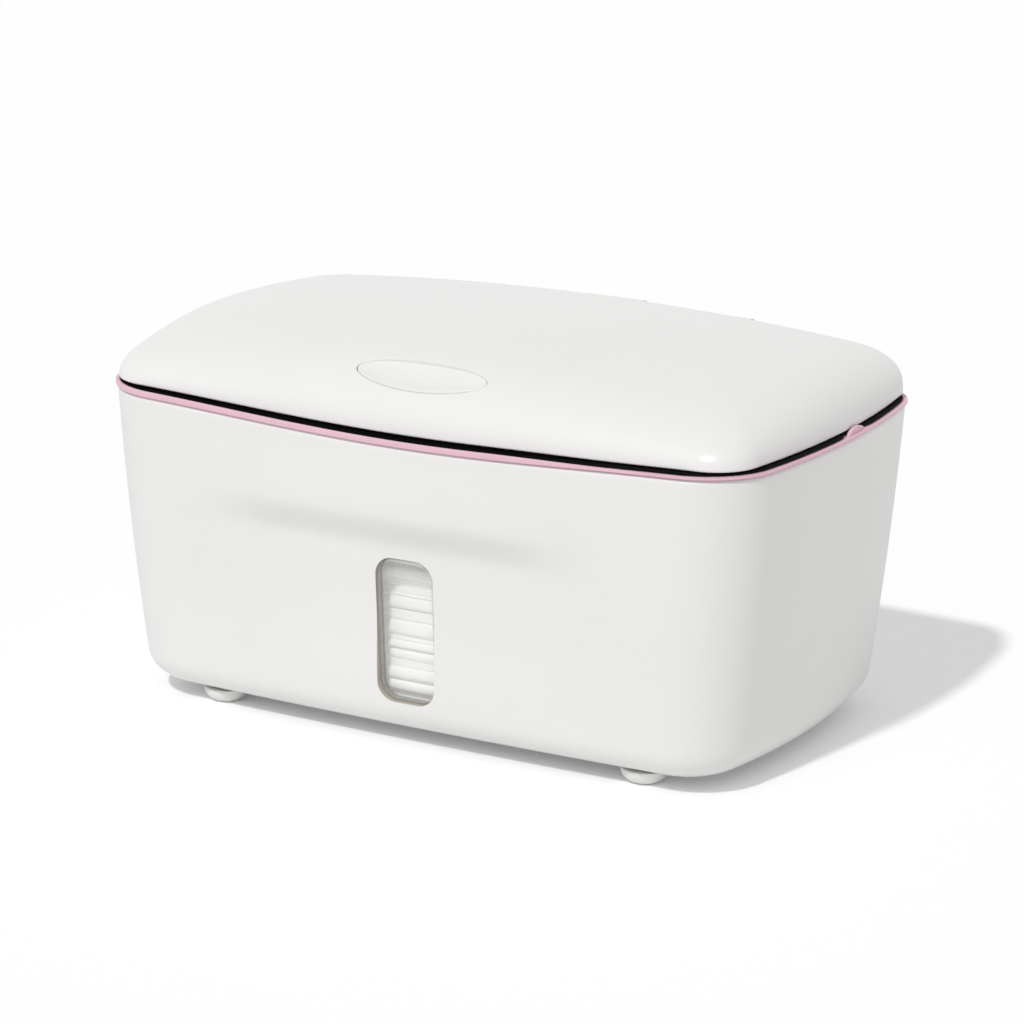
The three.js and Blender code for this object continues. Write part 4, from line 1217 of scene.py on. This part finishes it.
def foot_ring(gap, up):
    """A ring of the flared foot, a gap inside the bead, or inside the pull tab where it stands"""
    ring = []
    for p, behind_tab in zip(rim_line(bead_width + gap), rim_line(tab_set_in + tab_thickness + gap)):
        if p.x > 0:
            past_tab = abs(p.y + tub_y - tab_y) - tab_radius
            p = behind_tab.lerp(p, rise(*step_in, past_tab))
        ring.append(Vector((p.x, p.y + tub_y, on_seat(p.x) + up)))
    return ring


seal = wrapped("lid_seal_soft", [
    seal_ring(seal_inner, on_seat, seal_round), seal_ring(seal_inner - seal_round, on_seat),
    foot_ring(foot_gap + seal_round, 0), foot_ring(foot_gap, foot_thickness / 2),
    foot_ring(foot_gap + seal_round, foot_thickness),
    seal_ring(seal_outer, on_seat, foot_thickness + seal_round), seal_ring(seal_outer, under_lid),
    seal_ring(seal_inner, under_lid), seal_ring(seal_inner, on_seat, seal_round),
])
smooth(seal, 30)
# Painted shade: near black and with almost no gloss, standing in for the shadow in the gap between lid and
# ring.
dress(seal, silicone(
    "black_rubber", (0.006, 0.006, 0.006), (0.004, 0.004, 0.004), 0.8, Specular_IOR_Level=0.05,
))
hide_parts("lid_seal")
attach(seal, "lid")


# Button springs
# Two steel coils between the tray's bosses and the seats under the button push it back up.
push_radius, push_wire, push_turns = 0.00275, 0.00035, 5
for side, x in (("left", -spring_x), ("right", spring_x)):
    spring_low, spring_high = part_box("button_spring_" + side)
    spring = coil("coil_" + side, push_radius, push_wire, spring_high.z - spring_low.z, push_turns)
    spring.data.transform(Matrix.Translation((x, button_y, spring_low.z)))
    dress(spring, spring_steel)
    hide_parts("button_spring_" + side)
    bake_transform(spring)


# Latch, its pin and its spring
# A lever of slippery off-white plastic on a steel cross pin. Its hook holds under the tub's ledge until
# the button tips it.
hook_top = ledge_bottom - fit_gap
hook_low = hook_top - 0.0021
nose = ledge_reach - 0.002
pad_top = latch_pivot.z + 0.0015
pad_low = pad_top - arm_thickness
latch = drawn("latch_lever", [
    (latch_pivot.y, pad_top), (shank_front, pad_top), (shank_front, hook_top), (nose, hook_top),
    (nose, mix(hook_top, hook_low, 0.5)), (shank_front, hook_low), (shank_front + 0.0022, hook_low),
    (shank_front + 0.0022, pad_low), (latch_pivot.y, pad_low),
], -latch_half, latch_half)
boolean(latch, "UNION", rod("eye", eye_radius, -latch_half, latch_half, latch_pivot.y, latch_pivot.z))
boolean(latch, "DIFFERENCE", rod(
    "bore", latch_bore, -latch_half - wall, latch_half + wall, latch_pivot.y, latch_pivot.z,
))
round_edges(latch, 0.00035, 3, 40)
smooth(latch)
latch_plastic = moulded("latch_plastic", (0.8, 0.79, 0.77), (0.77, 0.76, 0.74), 0.42).material
dress(latch, latch_plastic)
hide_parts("latch")
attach(latch, "latch")

pin_low, pin_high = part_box("latch_pin")
latch_pin_radius, latch_coil_radius, latch_wire, latch_turns = 0.001, 0.00175, 0.0003, 3
latch_pin = rod("latch_pin_steel", latch_pin_radius, pin_low.x, pin_high.x, latch_pivot.y, latch_pivot.z, 32)
round_edges(latch_pin, 0.0002, 2)
smooth(latch_pin)
dress(latch_pin, bright_steel)
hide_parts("latch_pin")
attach(latch_pin, "lid")

latch_spring = coil("latch_spring_wire", latch_coil_radius, latch_wire, latch_spring_length, latch_turns)
lay_along_x(latch_spring, slot_half + ear_thickness + ear_gap / 2, latch_pivot.y, latch_pivot.z)
dress(latch_spring, spring_steel)
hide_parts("latch_spring")
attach(latch_spring, "lid")


# Floor and light
# A plain white floor that keeps the shadow, one lamp high in front, and an even white surround.
deselect()
bpy.ops.mesh.primitive_plane_add(size=12, location=(0, 0, 0))
floor = bpy.context.object
floor.name = "floor"
floor_finish = Finish("floor", Base_Color=(0.96, 0.96, 0.96, 1), Roughness=1.0, Specular_IOR_Level=0.0)
floor_tree = floor_finish.tree
plain = Wire(floor_tree, floor_finish.shader.outputs[0])
glow = plain.node("ShaderNodeEmission", {}, {"Strength": 0.13})
lifted = plain.node("ShaderNodeAddShader", {}, {0: plain, 1: glow})
looked_at = plain.node("ShaderNodeLightPath", {}, {}, "Is Camera Ray")
chosen = plain.node("ShaderNodeMixShader", {}, {0: looked_at, 1: plain, 2: lifted})
floor_tree.links.new(chosen.socket, floor_tree.nodes["Material Output"].inputs["Surface"])
floor.data.materials.append(floor_finish.material)

key_elevation, key_side = math.radians(51.5), 0.03
key_from = Vector((-key_side, -math.cos(key_elevation), math.sin(key_elevation)))
bpy.ops.object.light_add(type="SUN", location=key_from)
key = bpy.context.object
key.name = "key_lamp"
key.rotation_euler = key_from.to_track_quat("Z", "Y").to_euler()
key.data.energy = 1.4
key.data.angle = math.radians(3)

world = bpy.data.worlds.new("surround")
bpy.context.scene.world = world
world.use_nodes = True
world_tree = world.node_tree
surround = world_tree.nodes["Background"]
surround.inputs["Color"].default_value = (1, 1, 1, 1)
world_path = world_tree.nodes.new("ShaderNodeLightPath")
seen, mirrored, through = (
    Wire(world_tree, world_path.outputs[ray])
    for ray in ("Is Camera Ray", "Is Glossy Ray", "Is Transmission Ray")
)
seen = seen.maths("MAXIMUM", seen, mirrored.maths("MAXIMUM", mirrored, through))
world_tree.links.new((0.545 + 0.455 * seen).socket, surround.inputs["Strength"])

bpy.context.scene.view_settings.view_transform = "Standard"
